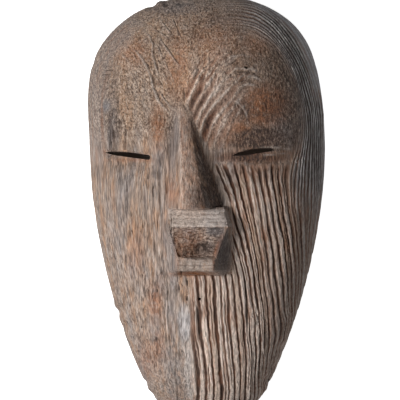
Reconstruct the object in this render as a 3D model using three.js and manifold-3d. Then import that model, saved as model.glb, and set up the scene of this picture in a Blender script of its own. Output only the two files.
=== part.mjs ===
// A carved wooden face mask, old and weathered: one solid, hollow behind.
// Millimetres. The mask lies on its flat back rim at z = 0 with the face up:
// +X is the viewer's right, +Y the top of the head, +Z out of the face.
import * as THREE from 'three';
import { mergeVertices } from 'three/addons/utils/BufferGeometryUtils.js';
import Module from 'manifold-3d';

const wasm = await Module();
wasm.setup();

// ---- outline, seen from the front: an upside-down egg with a blunt chin
const TOP_Y = 156.5;          // crown of the head
const CHIN_Y = -160;          // end of the chin
const HALF_WIDTH = 88.3;      // half the greatest width
const WIDEST_Y = 46.9;        // height at which it is widest
const CROWN_POWER = [3.46, 1 / 1.99];
const CHIN_TAPER = [0.604, 1.96];   // share of the width lost by the chin, and how late
const CHIN_CORNER = [30, 1 / 3];
const HEAD_SHIFT = [-2.6, 100, 38]; // the head leans a little to the left round y = 100

// ---- depth of the front surface above the rim, along the middle
const CREST = 76;
const CREST_Y = 60;
const CREST_CROWN = [2.8, 1 / 2.2];
const CREST_TAPER = [0.35, 2.2];
const CREST_CORNER = [16, 1 / 2.4];
const SECTION_POWER = 2.8;    // superellipse power of every cross-section

// ---- carved relief of the face surface: [x, y, half-width, half-height, rise]
const RELIEF = [
  [-46, 33, 27, 17, -4.5],    // left eye hollow
  [44, 33, 27, 17, -5.0],     // right eye hollow
  [-17, 30, 9, 34, -2.0],     // beside the nose, left
  [18, 34, 11, 30, -4.5],     // beside the nose, right
  [0, 104, 46, 28, 2.0],      // forehead
  [6, -70, 30, 20, -1.5],     // below the mouth
];

// ---- the hollow behind
const WALL_SIDE = 12.5;
const WALL_END = 15;
const WALL_FACE = 14;
const HOLLOW_POWER = 2.5;

// ---- nose: a wedge that grows out of the brow
const NOSE = {
  topY: 80, tipY: -4.4, topZ: 74.6, tipZ: 99.5,
  ridge: [[-11.0, -7.0], [-3.8, 11.5]],   // left and right edge of the front strip, at the top and at the tip
  foot: [[-15.5, -5.6], [-20.5, 22.6]],   // where the flanks meet the face
  fall: [0.3, 5.2],                       // how far the front strip falls away to its right edge
  steps: 9,
};

// ---- lips: one block below the nose; each row is
// [y, left foot, left edge, right edge, right foot, front z]
const LIPS = [
  [-4.2, -19.5, -16.6, 23.6, 25.0, 82.0],
  [-16.2, -20.5, -15.9, 27.2, 28.5, 90.6],
  [-17.6, -20.5, -15.6, 27.4, 28.7, 91.0],   // edge of the upper lip
  [-38.8, -20.0, -8.8, 18.2, 28.6, 91.4],    // edge of the lower lip
  [-46.6, -19.5, -9.1, 17.6, 28.2, 93.0],
  [-48.6, -19.5, -9.6, 17.8, 27.8, 91.6],
  [-52.4, -18.0, -12.5, 19.0, 24.0, 74.0],
];

// ---- the mouth: a pocket between the lips, shallow at its left end: [y, left, right, floor z]
const MOUTH = [
  [-18.2, -12.0, 24.6, 88.0],
  [-20.4, -14.4, 23.6, 87.0],
  [-37.0, -9.0, 17.0, 80.6],
  [-38.4, -8.4, 16.4, 80.6],
];
const MOUTH_DRAFT = 0.3;      // how far the side walls lean out for each millimetre of height
const MOUTH_SHALLOW = 0.6;    // depth at the left end
const MOUTH_RAMP = 0.55;      // share of the width over which the floor falls
const BURIED = 9;             // how far the nose and lips reach into the wall

// ---- slit eyes, cut right through:
// [blunt end x, y, pointed end x, y, height, rise of the middle, fullness at the blunt end, taper]
const SLITS = [
  [-32.4, 32.6, -68.8, 36.7, 3.6, 0.3, 0.92, 3],
  [56.3, 38.3, 27.9, 34.0, 3.7, 0.6, 0.6, 6],
];

// ---- mesh steps
const OUTER = { rows: 50, columns: 48 };
const INNER = { rows: 30, columns: 26 };

const clamp01 = (v) => Math.min(1, Math.max(0, v));

function halfWidth(y) {
  const s = clamp01((y - WIDEST_Y) / (TOP_Y - WIDEST_Y));
  const t = clamp01((WIDEST_Y - y) / (WIDEST_Y - CHIN_Y));
  if (y > WIDEST_Y) return HALF_WIDTH * (1 - s ** CROWN_POWER[0]) ** CROWN_POWER[1];
  return HALF_WIDTH * (1 - CHIN_TAPER[0] * t ** CHIN_TAPER[1]) * (1 - t ** CHIN_CORNER[0]) ** CHIN_CORNER[1];
}

function crest(y) {
  const s = clamp01((y - CREST_Y) / (TOP_Y - CREST_Y));
  const t = clamp01((CREST_Y - y) / (CREST_Y - CHIN_Y));
  if (y > CREST_Y) return CREST * (1 - s ** CREST_CROWN[0]) ** CREST_CROWN[1];
  return CREST * (1 - CREST_TAPER[0] * t ** CREST_TAPER[1]) * (1 - t ** CREST_CORNER[0]) ** CREST_CORNER[1];
}

const shift = (y) => HEAD_SHIFT[0] * Math.exp(-(((y - HEAD_SHIFT[1]) / HEAD_SHIFT[2]) ** 2));

function relief(x, y) {
  let h = 0;
  for (const [cx, cy, rx, ry, rise] of RELIEF) h += rise * Math.exp(-(((x - cx) / rx) ** 2) - ((y - cy) / ry) ** 2);
  return h;
}

function faceZ(x, y) {
  const r = clamp01(Math.abs(x - shift(y)) / Math.max(halfWidth(y), 1e-6));
  return crest(y) * (1 - r ** SECTION_POWER) ** (1 / SECTION_POWER) + relief(x, y);
}

// Values of a parameter in 0..1 that lie evenly along a curve.
function evenly(curve, count) {
  const fine = 4000;
  const run = [0];
  let last = curve(0);
  for (let i = 1; i <= fine; i++) {
    const p = curve(i / fine);
    run.push(run[i - 1] + Math.hypot(...p.map((v, k) => v - last[k])));
    last = p;
  }
  const out = [];
  let j = 0;
  for (let i = 0; i <= count; i++) {
    const want = (run[fine] * i) / count;
    while (j < fine - 1 && run[j + 1] < want) j++;
    out.push((j + (want - run[j]) / Math.max(run[j + 1] - run[j], 1e-12)) / fine);
  }
  return out;
}

// A closed solid through rings of points, with flat ends. Rings run the same way round.
function loft(rings) {
  const n = rings[0].length;
  const points = rings.flat();
  const index = [];
  for (let i = 0; i + 1 < rings.length; i++) {
    for (let j = 0; j < n; j++) {
      const a = i * n + j, b = i * n + ((j + 1) % n), c = a + n, d = b + n;
      index.push(a, b, d, a, d, c);
    }
  }
  const end = (rings.length - 1) * n;
  for (let j = 1; j + 1 < n; j++) {
    index.push(0, j + 1, j);
    index.push(end, end + j, end + j + 1);
  }
  const geometry = new THREE.BufferGeometry();
  geometry.setAttribute('position', new THREE.Float32BufferAttribute(points.flat(), 3));
  geometry.setIndex(index);
  return geometry;
}

// A geometry as a solid for joining and cutting, with its faces turned outwards.
function solid(geometry) {
  let g = geometry.clone();
  g.deleteAttribute('normal');
  g.deleteAttribute('uv');
  g = mergeVertices(g, 1e-5);
  const p = g.attributes.position, at = g.index.array;
  const tri = [];
  const [a, b, c] = [0, 1, 2].map(() => new THREE.Vector3());
  let volume = 0;
  for (let i = 0; i < at.length; i += 3) {
    if (at[i] === at[i + 1] || at[i + 1] === at[i + 2] || at[i] === at[i + 2]) continue;
    tri.push(at[i], at[i + 1], at[i + 2]);
    volume += a.fromBufferAttribute(p, at[i]).dot(b.fromBufferAttribute(p, at[i + 1]).cross(c.fromBufferAttribute(p, at[i + 2])));
  }
  if (volume < 0) for (let i = 0; i < tri.length; i += 3) [tri[i + 1], tri[i + 2]] = [tri[i + 2], tri[i + 1]];
  return new wasm.Manifold(new wasm.Mesh({
    numProp: 3,
    vertProperties: new Float32Array(p.array),
    triVerts: new Uint32Array(tri),
  }));
}

// A dome on the plane z = floor: sections of width(y) and height(y), superellipses of the given power.
function dome({ top, chin, width, height, power, rows, columns, floor = 0, middle = shift, lift = () => 0 }) {
  const edge = 0.0006;
  const along = evenly((t) => {
    const y = top + (chin - top) * (edge + (1 - 2 * edge) * t);
    return [y, width(y) * 0.7, height(y)];
  }, rows);
  const across = evenly((t) => {
    const a = (t - 0.5) * Math.PI;
    return [Math.sign(a) * Math.abs(Math.sin(a)) ** (2 / power) * 84, Math.max(0, Math.cos(a)) ** (2 / power) * 72];
  }, columns);
  const rings = along.map((t) => {
    const y = top + (chin - top) * (edge + (1 - 2 * edge) * t);
    return across.map((u, j) => {
      const a = (u - 0.5) * Math.PI;
      const rim = j === 0 || j === columns;
      const x = middle(y) + width(y) * Math.sign(a) * Math.abs(Math.sin(a)) ** (2 / power);
      const up = rim ? 0 : height(y) * Math.max(0, Math.cos(a)) ** (2 / power);
      return [x, y, rim ? floor : up + lift(x, y) * clamp01(up / 30)];
    });
  });
  return loft(rings);
}

const head = solid(dome({
  top: TOP_Y, chin: CHIN_Y, width: halfWidth, height: crest, power: SECTION_POWER,
  rows: OUTER.rows, columns: OUTER.columns, lift: relief,
}));

// The hollow repeats the outside, smaller by the walls, and runs out through the rim.
const innerTop = TOP_Y - WALL_END, innerChin = CHIN_Y + WALL_END;
const outerY = (y) => TOP_Y + ((y - innerTop) * (TOP_Y - CHIN_Y)) / (innerTop - innerChin);
const hollowWidth = (y) => (halfWidth(outerY(y)) * (HALF_WIDTH - WALL_SIDE)) / HALF_WIDTH;
const hollowHeight = (y) => (crest(outerY(y)) * (CREST - WALL_FACE)) / CREST;
const hollowUp = solid(dome({
  top: innerTop, chin: innerChin, width: hollowWidth, height: hollowHeight, power: HOLLOW_POWER,
  rows: INNER.rows, columns: INNER.columns, floor: -6,
}));

const noseRings = [];
for (let i = 0; i <= NOSE.steps; i++) {
  const t = i / NOSE.steps;
  const mix = (pair, side) => THREE.MathUtils.lerp(pair[0][side], pair[1][side], t);
  const y = THREE.MathUtils.lerp(NOSE.topY, NOSE.tipY, t);
  const z = THREE.MathUtils.lerp(NOSE.topZ, NOSE.tipZ, t);
  const left = mix(NOSE.foot, 0), right = mix(NOSE.foot, 1);
  const fall = THREE.MathUtils.lerp(NOSE.fall[0], NOSE.fall[1], t);
  noseRings.push([
    [left, y, faceZ(left, y) - BURIED],
    [left, y, faceZ(left, y) - 0.6],
    [mix(NOSE.ridge, 0), y, z],
    [(mix(NOSE.ridge, 0) + mix(NOSE.ridge, 1)) / 2, y, z - fall / 4],
    [mix(NOSE.ridge, 1), y, z - fall],
    [right, y, faceZ(right, y) - 0.6],
    [right, y, faceZ(right, y) - BURIED],
  ]);
}
const nose = solid(loft(noseRings));

const lipRings = LIPS.map(([y, leftFoot, leftEdge, rightEdge, rightFoot, z]) => [
  [leftFoot, y, faceZ(leftFoot, y) - BURIED],
  [leftFoot, y, faceZ(leftFoot, y) - 1],
  [leftEdge, y, z],
  [rightEdge, y, z],
  [rightFoot, y, faceZ(rightFoot, y) - 1],
  [rightFoot, y, faceZ(rightFoot, y) - BURIED],
]);
const lips = solid(loft(lipRings));

function lipFront(y) {
  const i = LIPS.findIndex((row, k) => k > 0 && row[0] <= y);
  const t = (y - LIPS[i - 1][0]) / (LIPS[i][0] - LIPS[i - 1][0]);
  return THREE.MathUtils.lerp(LIPS[i - 1][5], LIPS[i][5], t);
}

const MOUTH_TOP = 100;
const mouth = solid(loft(MOUTH.map(([y, left, right, floor]) => {
  const start = lipFront(y) - MOUTH_SHALLOW;
  return [
    [left - MOUTH_DRAFT * (MOUTH_TOP - start), y, MOUTH_TOP],
    [left, y, start],
    [left + MOUTH_RAMP * (right - left), y, floor],
    [right, y, floor],
    [right + MOUTH_DRAFT * (MOUTH_TOP - floor), y, MOUTH_TOP],
  ];
})));

// A slit is a long lens, blunt at one end and pointed at the other, pushed through the wall.
function slit([bluntX, bluntY, pointX, pointY, high, bow, full, taper]) {
  const length = Math.hypot(pointX - bluntX, pointY - bluntY);
  const steps = 14;
  const up = [], low = [];
  for (let i = 0; i <= steps; i++) {
    const s = (1 - Math.cos((Math.PI * i) / steps)) / 2;
    const rounding = Math.sqrt(Math.min(1, s / 0.03));
    const fullness = THREE.MathUtils.lerp(full, 1, Math.sin((Math.min(1, s / 0.5) * Math.PI) / 2));
    const half = (high / 2) * rounding * fullness * (1 - s ** taper);
    const middle = 4 * s * (1 - s) * bow;
    up.push(new THREE.Vector2(s * length, middle + half));
    if (i > 0 && i < steps) low.push(new THREE.Vector2(s * length, middle - half));
  }
  const side = Math.sign(pointX - bluntX);
  const outline = up.concat(low.reverse()).map((p) => new THREE.Vector2(p.x, p.y * side));
  const g = new THREE.ExtrudeGeometry(new THREE.Shape(outline), { depth: 70, bevelEnabled: false });
  g.rotateZ(Math.atan2(pointY - bluntY, pointX - bluntX));
  g.translate(bluntX, bluntY, 30);
  return solid(g);
}

let body = head.add(nose).add(lips).subtract(mouth).subtract(hollowUp);
for (const s of SLITS) body = body.subtract(slit(s));

const cut = body.getMesh();
const shell = new THREE.BufferGeometry();
shell.setAttribute('position', new THREE.Float32BufferAttribute(Float32Array.from(cut.vertProperties), 3));
shell.setIndex(Array.from(cut.triVerts));
// The origin is the middle of the back rim's box.
shell.computeBoundingBox();
const { min, max } = shell.boundingBox;
shell.translate(-(min.x + max.x) / 2, -(min.y + max.y) / 2, -min.z);
shell.computeVertexNormals();

const wood = new THREE.MeshStandardMaterial({ name: 'weathered_wood', color: 0x84695a, roughness: 0.85, metalness: 0 });
const mask = new THREE.Mesh(shell, wood);
mask.name = 'mask';

const group = new THREE.Group();
group.name = 'carved_face_mask';
group.add(mask);

export default group;
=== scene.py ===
"""A carved wooden face mask, old and deeply weathered, lying face up on a pale floor.

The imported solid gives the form. This script makes the same form again as a fine mesh and adds
what the weather has done to it: raised growth rings, end grain, cracks, small holes, worn edges.
Lengths are millimetres until the mesh is written, in the carver's frame: +X to the viewer's right,
+Y to the crown, +Z out of the face.
"""
import math

import bpy
import numpy as np
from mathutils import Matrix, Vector, kdtree


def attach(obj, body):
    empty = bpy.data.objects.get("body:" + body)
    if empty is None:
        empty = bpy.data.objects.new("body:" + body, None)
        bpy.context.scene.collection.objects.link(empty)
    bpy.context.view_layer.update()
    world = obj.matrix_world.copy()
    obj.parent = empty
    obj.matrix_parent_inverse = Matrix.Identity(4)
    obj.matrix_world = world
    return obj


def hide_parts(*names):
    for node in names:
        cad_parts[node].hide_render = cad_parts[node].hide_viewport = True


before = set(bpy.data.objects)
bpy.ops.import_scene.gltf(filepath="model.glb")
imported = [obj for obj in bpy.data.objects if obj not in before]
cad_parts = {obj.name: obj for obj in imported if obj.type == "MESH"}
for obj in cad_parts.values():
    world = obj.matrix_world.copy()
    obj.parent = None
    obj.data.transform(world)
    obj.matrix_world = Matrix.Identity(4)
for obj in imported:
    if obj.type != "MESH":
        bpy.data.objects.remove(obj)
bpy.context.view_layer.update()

# ------------------------------------------------------------------ sizes of the carving
TOP_Y, CHIN_Y, HALF_WIDTH, WIDEST_Y = 156.5, -160.0, 88.3, 46.9
CREST, CREST_Y, SECTION_POWER = 76.0, 60.0, 2.8
RELIEF = [(-46, 33, 27, 17, -4.5), (44, 33, 27, 17, -5.0), (-17, 30, 9, 34, -2.0),
          (18, 34, 11, 30, -4.5), (0, 104, 46, 28, 2.0), (6, -70, 30, 20, -1.5)]
WALL_SIDE, WALL_END, WALL_FACE, HOLLOW_POWER = 12.5, 15.0, 14.0, 2.5
NOSE_TOP, NOSE_TIP = (80.0, 74.6), (-4.4, 99.5)          # y and front z
NOSE_RIDGE = ((-11.0, -7.0), (-3.8, 11.5))
NOSE_FOOT = ((-15.5, -5.6), (-20.5, 22.6))
NOSE_FALL = (0.3, 5.2)                                   # how far the front strip falls away to its right edge
LIPS = np.array([
    (-4.2, -19.5, -16.6, 23.6, 25.0, 82.0),
    (-16.2, -20.5, -15.9, 27.2, 28.5, 90.6),
    (-17.6, -20.5, -15.6, 27.4, 28.7, 91.0),
    (-38.8, -20.0, -8.8, 18.2, 28.6, 91.4),
    (-46.6, -19.5, -9.1, 17.6, 28.2, 93.0),
    (-48.6, -19.5, -9.6, 17.8, 27.8, 91.6),
    (-52.4, -18.0, -12.5, 19.0, 24.0, 74.0)])
# the pocket between the lips: y, left, right, floor z; its walls lean out by MOUTH_DRAFT
MOUTH = np.array([(-18.2, -12.0, 24.6, 88.0), (-20.4, -14.4, 23.6, 87.0), (-37.0, -9.0, 17.0, 80.6), (-38.4, -8.4, 16.4, 80.6)])
MOUTH_DRAFT, MOUTH_SHALLOW = 0.3, 0.6       # the floor is only this deep at its left end
# slit eyes: blunt end x, y, pointed end x, y, height, rise of the middle, fullness at the blunt end, taper
SLITS = [(-32.4, 32.6, -68.8, 36.7, 3.7, 0.3, 0.92, 4.5), (56.3, 38.3, 27.9, 34.0, 3.7, 0.6, 0.6, 6)]

# the fine mesh
ROWS, SIDE, MIDDLE = (430, 170, 220)
TRIANGLES = 194000


def clamp01(v):
    return np.clip(v, 0.0, 1.0)


def smooth(a, b, x):
    """0 at a, 1 at b, smooth between."""
    t = clamp01((x - a) / (b - a))
    return t * t * (3 - 2 * t)


def lerp(a, b, t):
    return a + (b - a) * t


def smax(a, b, k):
    h = np.maximum(k - np.abs(a - b), 0) / k
    return np.maximum(a, b) + h * h * k / 4


def smin(a, b, k):
    return -smax(-a, -b, k)


def half_width(y):
    s = clamp01((y - WIDEST_Y) / (TOP_Y - WIDEST_Y))
    t = clamp01((WIDEST_Y - y) / (WIDEST_Y - CHIN_Y))
    up = (1 - s ** 3.46) ** (1 / 1.99)
    down = (1 - 0.604 * t ** 1.96) * (1 - t ** 30) ** (1 / 3)
    return HALF_WIDTH * np.where(y > WIDEST_Y, up, down)


def crest(y):
    s = clamp01((y - CREST_Y) / (TOP_Y - CREST_Y))
    t = clamp01((CREST_Y - y) / (CREST_Y - CHIN_Y))
    up = (1 - s ** 2.8) ** (1 / 2.2)
    down = (1 - 0.35 * t ** 2.2) * (1 - t ** 16) ** (1 / 2.4)
    return CREST * np.where(y > CREST_Y, up, down)


def middle(y):
    return -2.6 * np.exp(-((y - 100) / 38) ** 2)


def relief(x, y):
    h = 0.0
    for cx, cy, rx, ry, rise in RELIEF:
        h = h + rise * np.exp(-((x - cx) / rx) ** 2 - ((y - cy) / ry) ** 2)
    return h


def face_z(x, y):
    r = clamp01(np.abs(x - middle(y)) / np.maximum(half_width(y), 1e-6))
    return crest(y) * (1 - r ** SECTION_POWER) ** (1 / SECTION_POWER) + relief(x, y)


def nose_z(x, y):
    """The wedge of the nose: a front strip between a soft left and a sharp right edge."""
    t = (NOSE_TOP[0] - y) / (NOSE_TOP[0] - NOSE_TIP[0])
    z = lerp(NOSE_TOP[1], NOSE_TIP[1], t)
    left, right = lerp(NOSE_RIDGE[0][0], NOSE_RIDGE[1][0], t), lerp(NOSE_RIDGE[0][1], NOSE_RIDGE[1][1], t)
    foot_l, foot_r = lerp(NOSE_FOOT[0][0], NOSE_FOOT[1][0], t), lerp(NOSE_FOOT[0][1], NOSE_FOOT[1][1], t)
    fall = lerp(NOSE_FALL[0], NOSE_FALL[1], clamp01(t))
    left_slope = (z - face_z(foot_l, y) + 0.6) / np.maximum(left - foot_l, 0.4)
    right_slope = (z - fall - face_z(foot_r, y) + 0.6) / np.maximum(foot_r - right, 0.4)
    across = (x - left) / np.maximum(right - left, 1.0)
    front = z - fall * np.maximum(across, 0) ** 2
    h = smin(front, z - (left - x) * left_slope, 1.6)
    h = smin(h, z - fall - (x - right) * right_slope, 0.7)
    tip = NOSE_TIP[0] - 0.3 + 0.22 * np.maximum(0, x - 9.0)
    h = h - 26 * np.maximum(0, tip - y)
    return h - 12 * np.maximum(0, -t - 0.03)


def lips_z(x, y):
    rows = LIPS[::-1]
    foot_l, left, right, foot_r, z = (np.interp(y, rows[:, 0], rows[:, k]) for k in range(1, 6))
    a = z - (left - x) * (z - face_z(foot_l, y) + 1) / (left - foot_l)
    b = z - (x - right) * (z - face_z(foot_r, y) + 1) / (foot_r - right)
    h = smin(smin(z, a, 0.9), b, 0.7)
    rows = MOUTH[::-1]
    left, right, floor = (np.interp(y, rows[:, 0], rows[:, k]) for k in range(1, 4))
    across = clamp01((x - left) / (right - left))
    floor = lerp(z - MOUTH_SHALLOW, floor, np.minimum(1, across / 0.55)) - 2.2 * np.exp(-((x - 6) / 6) ** 2 - ((y + 33) / 4) ** 2)
    out = np.maximum(np.maximum(left - x, x - right), np.maximum(y - MOUTH[0, 0], MOUTH[-1, 0] - y) * 1.6)
    h = smin(h, floor + np.maximum(0, out) / MOUTH_DRAFT, 0.5)
    return h - 25 * np.maximum(0, y - LIPS[0, 0] - 0.05 * np.maximum(0, x)) - 12 * np.maximum(0, LIPS[-1, 0] - y)


def carved(x, y, base):
    """The face with nose and lips on it."""
    return smax(base, smax(nose_z(x, y), lips_z(x, y), 0.5), 1.2)


# ------------------------------------------------------------------ noise, the same on every run
def _hash(i, j, k, seed):
    h = (i.astype(np.uint32) * np.uint32(0x9E3779B1)) ^ (j.astype(np.uint32) * np.uint32(0x85EBCA77)) \
        ^ (k.astype(np.uint32) * np.uint32(0xC2B2AE3D))
    h = h + np.uint32((seed * 0x27D4EB2F) & 0xFFFFFFFF)
    h ^= h >> np.uint32(15)
    h *= np.uint32(0x2C1B3C6D)
    h ^= h >> np.uint32(12)
    h *= np.uint32(0x297A2D39)
    h ^= h >> np.uint32(15)
    return h.astype(np.float64) / 4294967296.0


def noise(x, y, z, seed):
    """Smooth noise, -1..1, one bump per unit."""
    x, y, z = np.broadcast_arrays(x, y, z)
    ix, iy, iz = np.floor(x), np.floor(y), np.floor(z)
    fx, fy, fz = x - ix, y - iy, z - iz
    ix, iy, iz = (v.astype(np.int64) for v in (ix, iy, iz))
    wx, wy, wz = (f * f * f * (f * (f * 6 - 15) + 10) for f in (fx, fy, fz))
    out = 0
    for a in (0, 1):
        for b in (0, 1):
            for c in (0, 1):
                w = (wx if a else 1 - wx) * (wy if b else 1 - wy) * (wz if c else 1 - wz)
                out = out + w * _hash(ix + a, iy + b, iz + c, seed)
    return out * 2 - 1


def fbm(x, y, z, seed, octaves=3, gain=0.55):
    out, amp, total, f = 0, 1.0, 0, 1.0
    for o in range(octaves):
        out = out + amp * noise(x * f, y * f, z * f, seed + 17 * o)
        total += amp
        amp *= gain
        f *= 2.03
    return out / total


def per_ring(k, seed):
    return _hash(k.astype(np.int64), np.zeros_like(k, np.int64), np.zeros_like(k, np.int64), seed)


# ------------------------------------------------------------------ the view that places what shows in front
PSI, FAR, LEVEL, PER_PX, MID_U, MID_V = math.radians(9.0), 1500.0, 15.0, 0.75, 206.0, 202.5


def seen(x, y, z):
    """Where a point of the carving falls in a 400 by 400 front view."""
    ex = x * math.cos(PSI) - (z - LEVEL) * math.sin(PSI)
    dz = x * math.sin(PSI) + (z - LEVEL) * math.cos(PSI)
    k = FAR / (FAR - dz)
    return MID_U + ex * k / PER_PX, MID_V - y * k / PER_PX


def onto(u, v):
    """The point of the plain face that a place in the front view falls on; the last value says whether it is on it."""
    u, v = np.asarray(u, float), np.asarray(v, float)
    hit = np.zeros(u.shape, bool)
    z_hit = np.zeros(u.shape)

    def back(z):
        a, x = (u - MID_U) * PER_PX, 0 * u
        for _ in range(12):
            dz = x * math.sin(PSI) + (z - LEVEL) * math.cos(PSI)
            k = FAR / (FAR - dz)
            x = (a / k + (z - LEVEL) * math.sin(PSI)) / math.cos(PSI)
        return x, (MID_V - v) * PER_PX / k

    for z in np.arange(100, 0, -0.25):
        x, y = back(z)
        inside = (face_z(x, y) >= z) & (np.abs(x - middle(y)) < half_width(y)) & (y < TOP_Y) & (y > CHIN_Y)
        z_hit = np.where(inside & ~hit, z, z_hit)
        hit |= inside
    x, y = back(z_hit)
    return np.stack([x, y, z_hit], -1), hit


# ------------------------------------------------------------------ growth rings
# Neighbouring rings, each a number and a few places of the front view that its groove passes through.
RIGHT_RINGS = {      # chin, right cheek and the arcs that run on over the right side of the head
    -8: [(189, 300), (193, 340), (198, 397)],
    -7: [(197, 290), (200, 335), (206, 397)],
    -6: [(206, 280), (209.8, 340), (214, 397)],
    -5: [(213.5, 280), (216, 320), (219, 360), (222, 397)],
    -4: [(220, 280), (221.5, 320), (225.2, 360), (228.5, 397)],
    -3: [(225.5, 280), (228, 320), (232.6, 360), (235, 397)],
    -2: [(232.2, 280), (236.2, 320), (239.4, 360), (240, 397)],
    -1: [(238.5, 280), (243.2, 320), (246.6, 360), (245, 397)],
    0: [(227.5, 222), (233, 240), (244, 280), (249.5, 320), (252.4, 360), (250.5, 397)],
    1: [(221.5, 178), (229.9, 200), (241.9, 240), (250, 280), (254.8, 330), (255.8, 360), (255, 395)],
    2: [(228.5, 178), (235.6, 200), (246.5, 240), (254.2, 280), (259.5, 320), (259.9, 360), (259, 387)],
    3: [(238, 178), (242.5, 200), (251.3, 240), (258.4, 280), (264.2, 320), (263.3, 360), (262, 385)],
    4: [(246, 178), (250.3, 200), (258.1, 240), (263.2, 280), (268.5, 320), (267.5, 360)],
    5: [(253.5, 178), (257.8, 200), (264, 240), (268.8, 280), (274, 320), (271.5, 355)],
    6: [(260.5, 178), (264.7, 200), (271.3, 240), (275.5, 280), (280.5, 320), (278, 345)],
    7: [(266.5, 178), (270.6, 200), (277.5, 240), (282.5, 280), (286.2, 320)],
    8: [(272.5, 178), (276.6, 200), (283.8, 240), (288, 280), (289.5, 315)],
    9: [(279, 178), (282.2, 200), (288.8, 240), (292.1, 280), (292, 308)],
    10: [(262, 52), (275, 62), (283, 71), (290, 84), (295, 100), (297, 125), (292, 150), (285, 178), (287.8, 200),
         (293.2, 240), (295.6, 280)],
    11: [(215, 31), (245, 33), (262, 41), (275, 48), (283, 57), (288, 67), (294.5, 82), (299.5, 105), (301.5, 130),
         (298, 152), (292.5, 178), (292.8, 205), (297, 240), (298.8, 280)],
    12: [(215, 24), (240, 24), (255, 27), (265, 32), (275, 41), (284, 54), (291, 68), (298.3, 88), (304.5, 121), (303.5, 150),
         (300.5, 180), (299.8, 210), (301.3, 240), (302, 265)],
    13: [(212, 18), (240, 17.5), (250, 20), (260, 24.5), (271, 32), (279, 41), (287, 53), (295, 66.9), (301.8, 85.7),
         (309.3, 119), (308, 150), (306.3, 180), (306, 210), (305.5, 240)],
    14: [(210, 12), (240, 11), (255, 15), (267, 22), (277, 32), (285, 42.5), (296, 60), (305, 82), (313, 118), (313, 150),
         (312, 180), (312, 210), (309, 240)],
    15: [(210, 7), (240, 5.5), (258, 9.5), (270, 18), (280, 28), (290, 41), (300.5, 59), (308.5, 80), (316.5, 117),
         (317, 150), (317.4, 180), (316, 205)],
    16: [(212, 3), (238, 1.5), (255, 4), (265, 9), (275, 16), (284, 24), (295, 38), (305, 57), (313.5, 79), (321, 115),
         (321, 150), (321, 175)],
}
BROW_RINGS = {       # arcs that climb from the bridge of the nose over the right brow
    -1: [(186, 97), (193, 78), (200, 68), (209, 54)],
    0: [(190, 106), (196, 94), (203, 80), (210, 69), (222, 55)],
    1: [(195, 116), (198, 108), (204, 99), (212, 88), (224, 70), (238, 58)],
    2: [(199, 124), (202, 116), (207.5, 108), (212, 102), (219, 94), (232, 79)],
    3: [(206, 131), (209.5, 121), (214, 112), (222, 102.5), (231, 92), (246, 79)],
    4: [(211, 141), (214, 131), (218.5, 121), (226, 110.5), (234, 101), (241, 92), (250, 85)],
    5: [(217, 150), (221, 138), (226, 126), (231, 116), (238, 107), (248, 98)],
}


# The middle line of each eye slit in the front view, from the inner end outwards.
LEFT_EYE = [(150, 157), (130, 154), (114, 153), (104, 153.2)]
RIGHT_EYE = [(234, 156), (249, 152.4), (260, 150.8), (271.5, 150.2)]


class Rings:
    """A smooth field that is a whole number on every groove of a run of rings."""

    def __init__(self, rings, give=2e-3):
        uv = np.array([p for line in rings.values() for p in line], float)
        number = np.array([k for k, line in rings.items() for _ in line], float)
        at, on = onto(uv[:, 0], uv[:, 1])
        self.at, number = at[on] / 50.0, number[on]
        n = len(self.at)
        r = np.linalg.norm(self.at[:, None] - self.at[None], axis=2)
        flat = np.c_[np.ones(n), self.at]
        m = np.block([[r ** 3 + give * np.eye(n), flat], [flat.T, np.zeros((4, 4))]])
        self.weight = np.linalg.solve(m, np.r_[number, np.zeros(4)])

    def __call__(self, points):
        p = points / 50.0
        out = np.empty(len(p))
        n = len(self.at)
        for i in range(0, len(p), 40000):
            q = p[i:i + 40000]
            r2 = ((q[:, None] - self.at[None]) ** 2).sum(2)
            out[i:i + 40000] = (r2 * np.sqrt(r2)) @ self.weight[:n] + self.weight[n] + q @ self.weight[n + 1:]
        return out


def grooves(phase, p, seed, width=0.2, waver=0.16, wander=0.3, power=2.4):
    """1 in the middle of a groove, 0 on the ridge beside it; every ring has its own width and depth."""
    x, y, z = p
    phase = (phase + waver * noise(x / 7, y / 26, z / 7, seed) + 0.07 * noise(x / 1.9, y / 3.2, z / 1.9, seed + 6)
             + wander * noise(phase * 0.8, 0.5, 0.5, seed + 1))
    k = np.round(phase)
    d = np.abs(phase - k)
    w = width * (0.65 + 0.8 * per_ring(k, seed + 2)) * (1 + 0.35 * noise(x / 7, y / 16, z / 7, seed + 3))
    g = np.exp(-(d / w) ** power)
    deep = (0.55 + 0.6 * per_ring(k, seed + 4)) * (1 + 0.25 * noise(x / 6, y / 12, z / 6, seed + 5))
    # some ridges carry a thin groove of their own for part of their length
    half = np.floor(phase)
    gate = smooth(0.05, 0.45, noise(x / 9 + 3.1 * half, y / 42, z / 9, seed + 7))
    g2 = 0.55 * gate * np.exp(-(np.abs(phase - half - 0.35 - 0.3 * per_ring(half, seed + 8)) / 0.075) ** 2)
    return np.maximum(g * deep, g2), per_ring(half, seed + 9), phase


# ------------------------------------------------------------------ the fine grid of the outside
def even_rows():
    edge, fine = 0.0006, 12000
    y = np.linspace(TOP_Y + (CHIN_Y - TOP_Y) * edge, CHIN_Y - (CHIN_Y - TOP_Y) * edge, fine)
    step = np.sqrt(np.diff(y) ** 2 + (0.7 * np.diff(half_width(y))) ** 2 + np.diff(crest(y)) ** 2)
    mid = (y[1:] + y[:-1]) / 2
    for at, wide, more in ((-4.0, 0.9, 9), (-17.9, 0.5, 6), (-38.2, 0.8, 10), (-50.3, 1.8, 4)):
        step = step * (1 + more * np.exp(-((mid - at) / wide) ** 2))
    run = np.r_[0, np.cumsum(step)]
    return np.interp(np.linspace(0, run[-1], ROWS), run, y)


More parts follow.
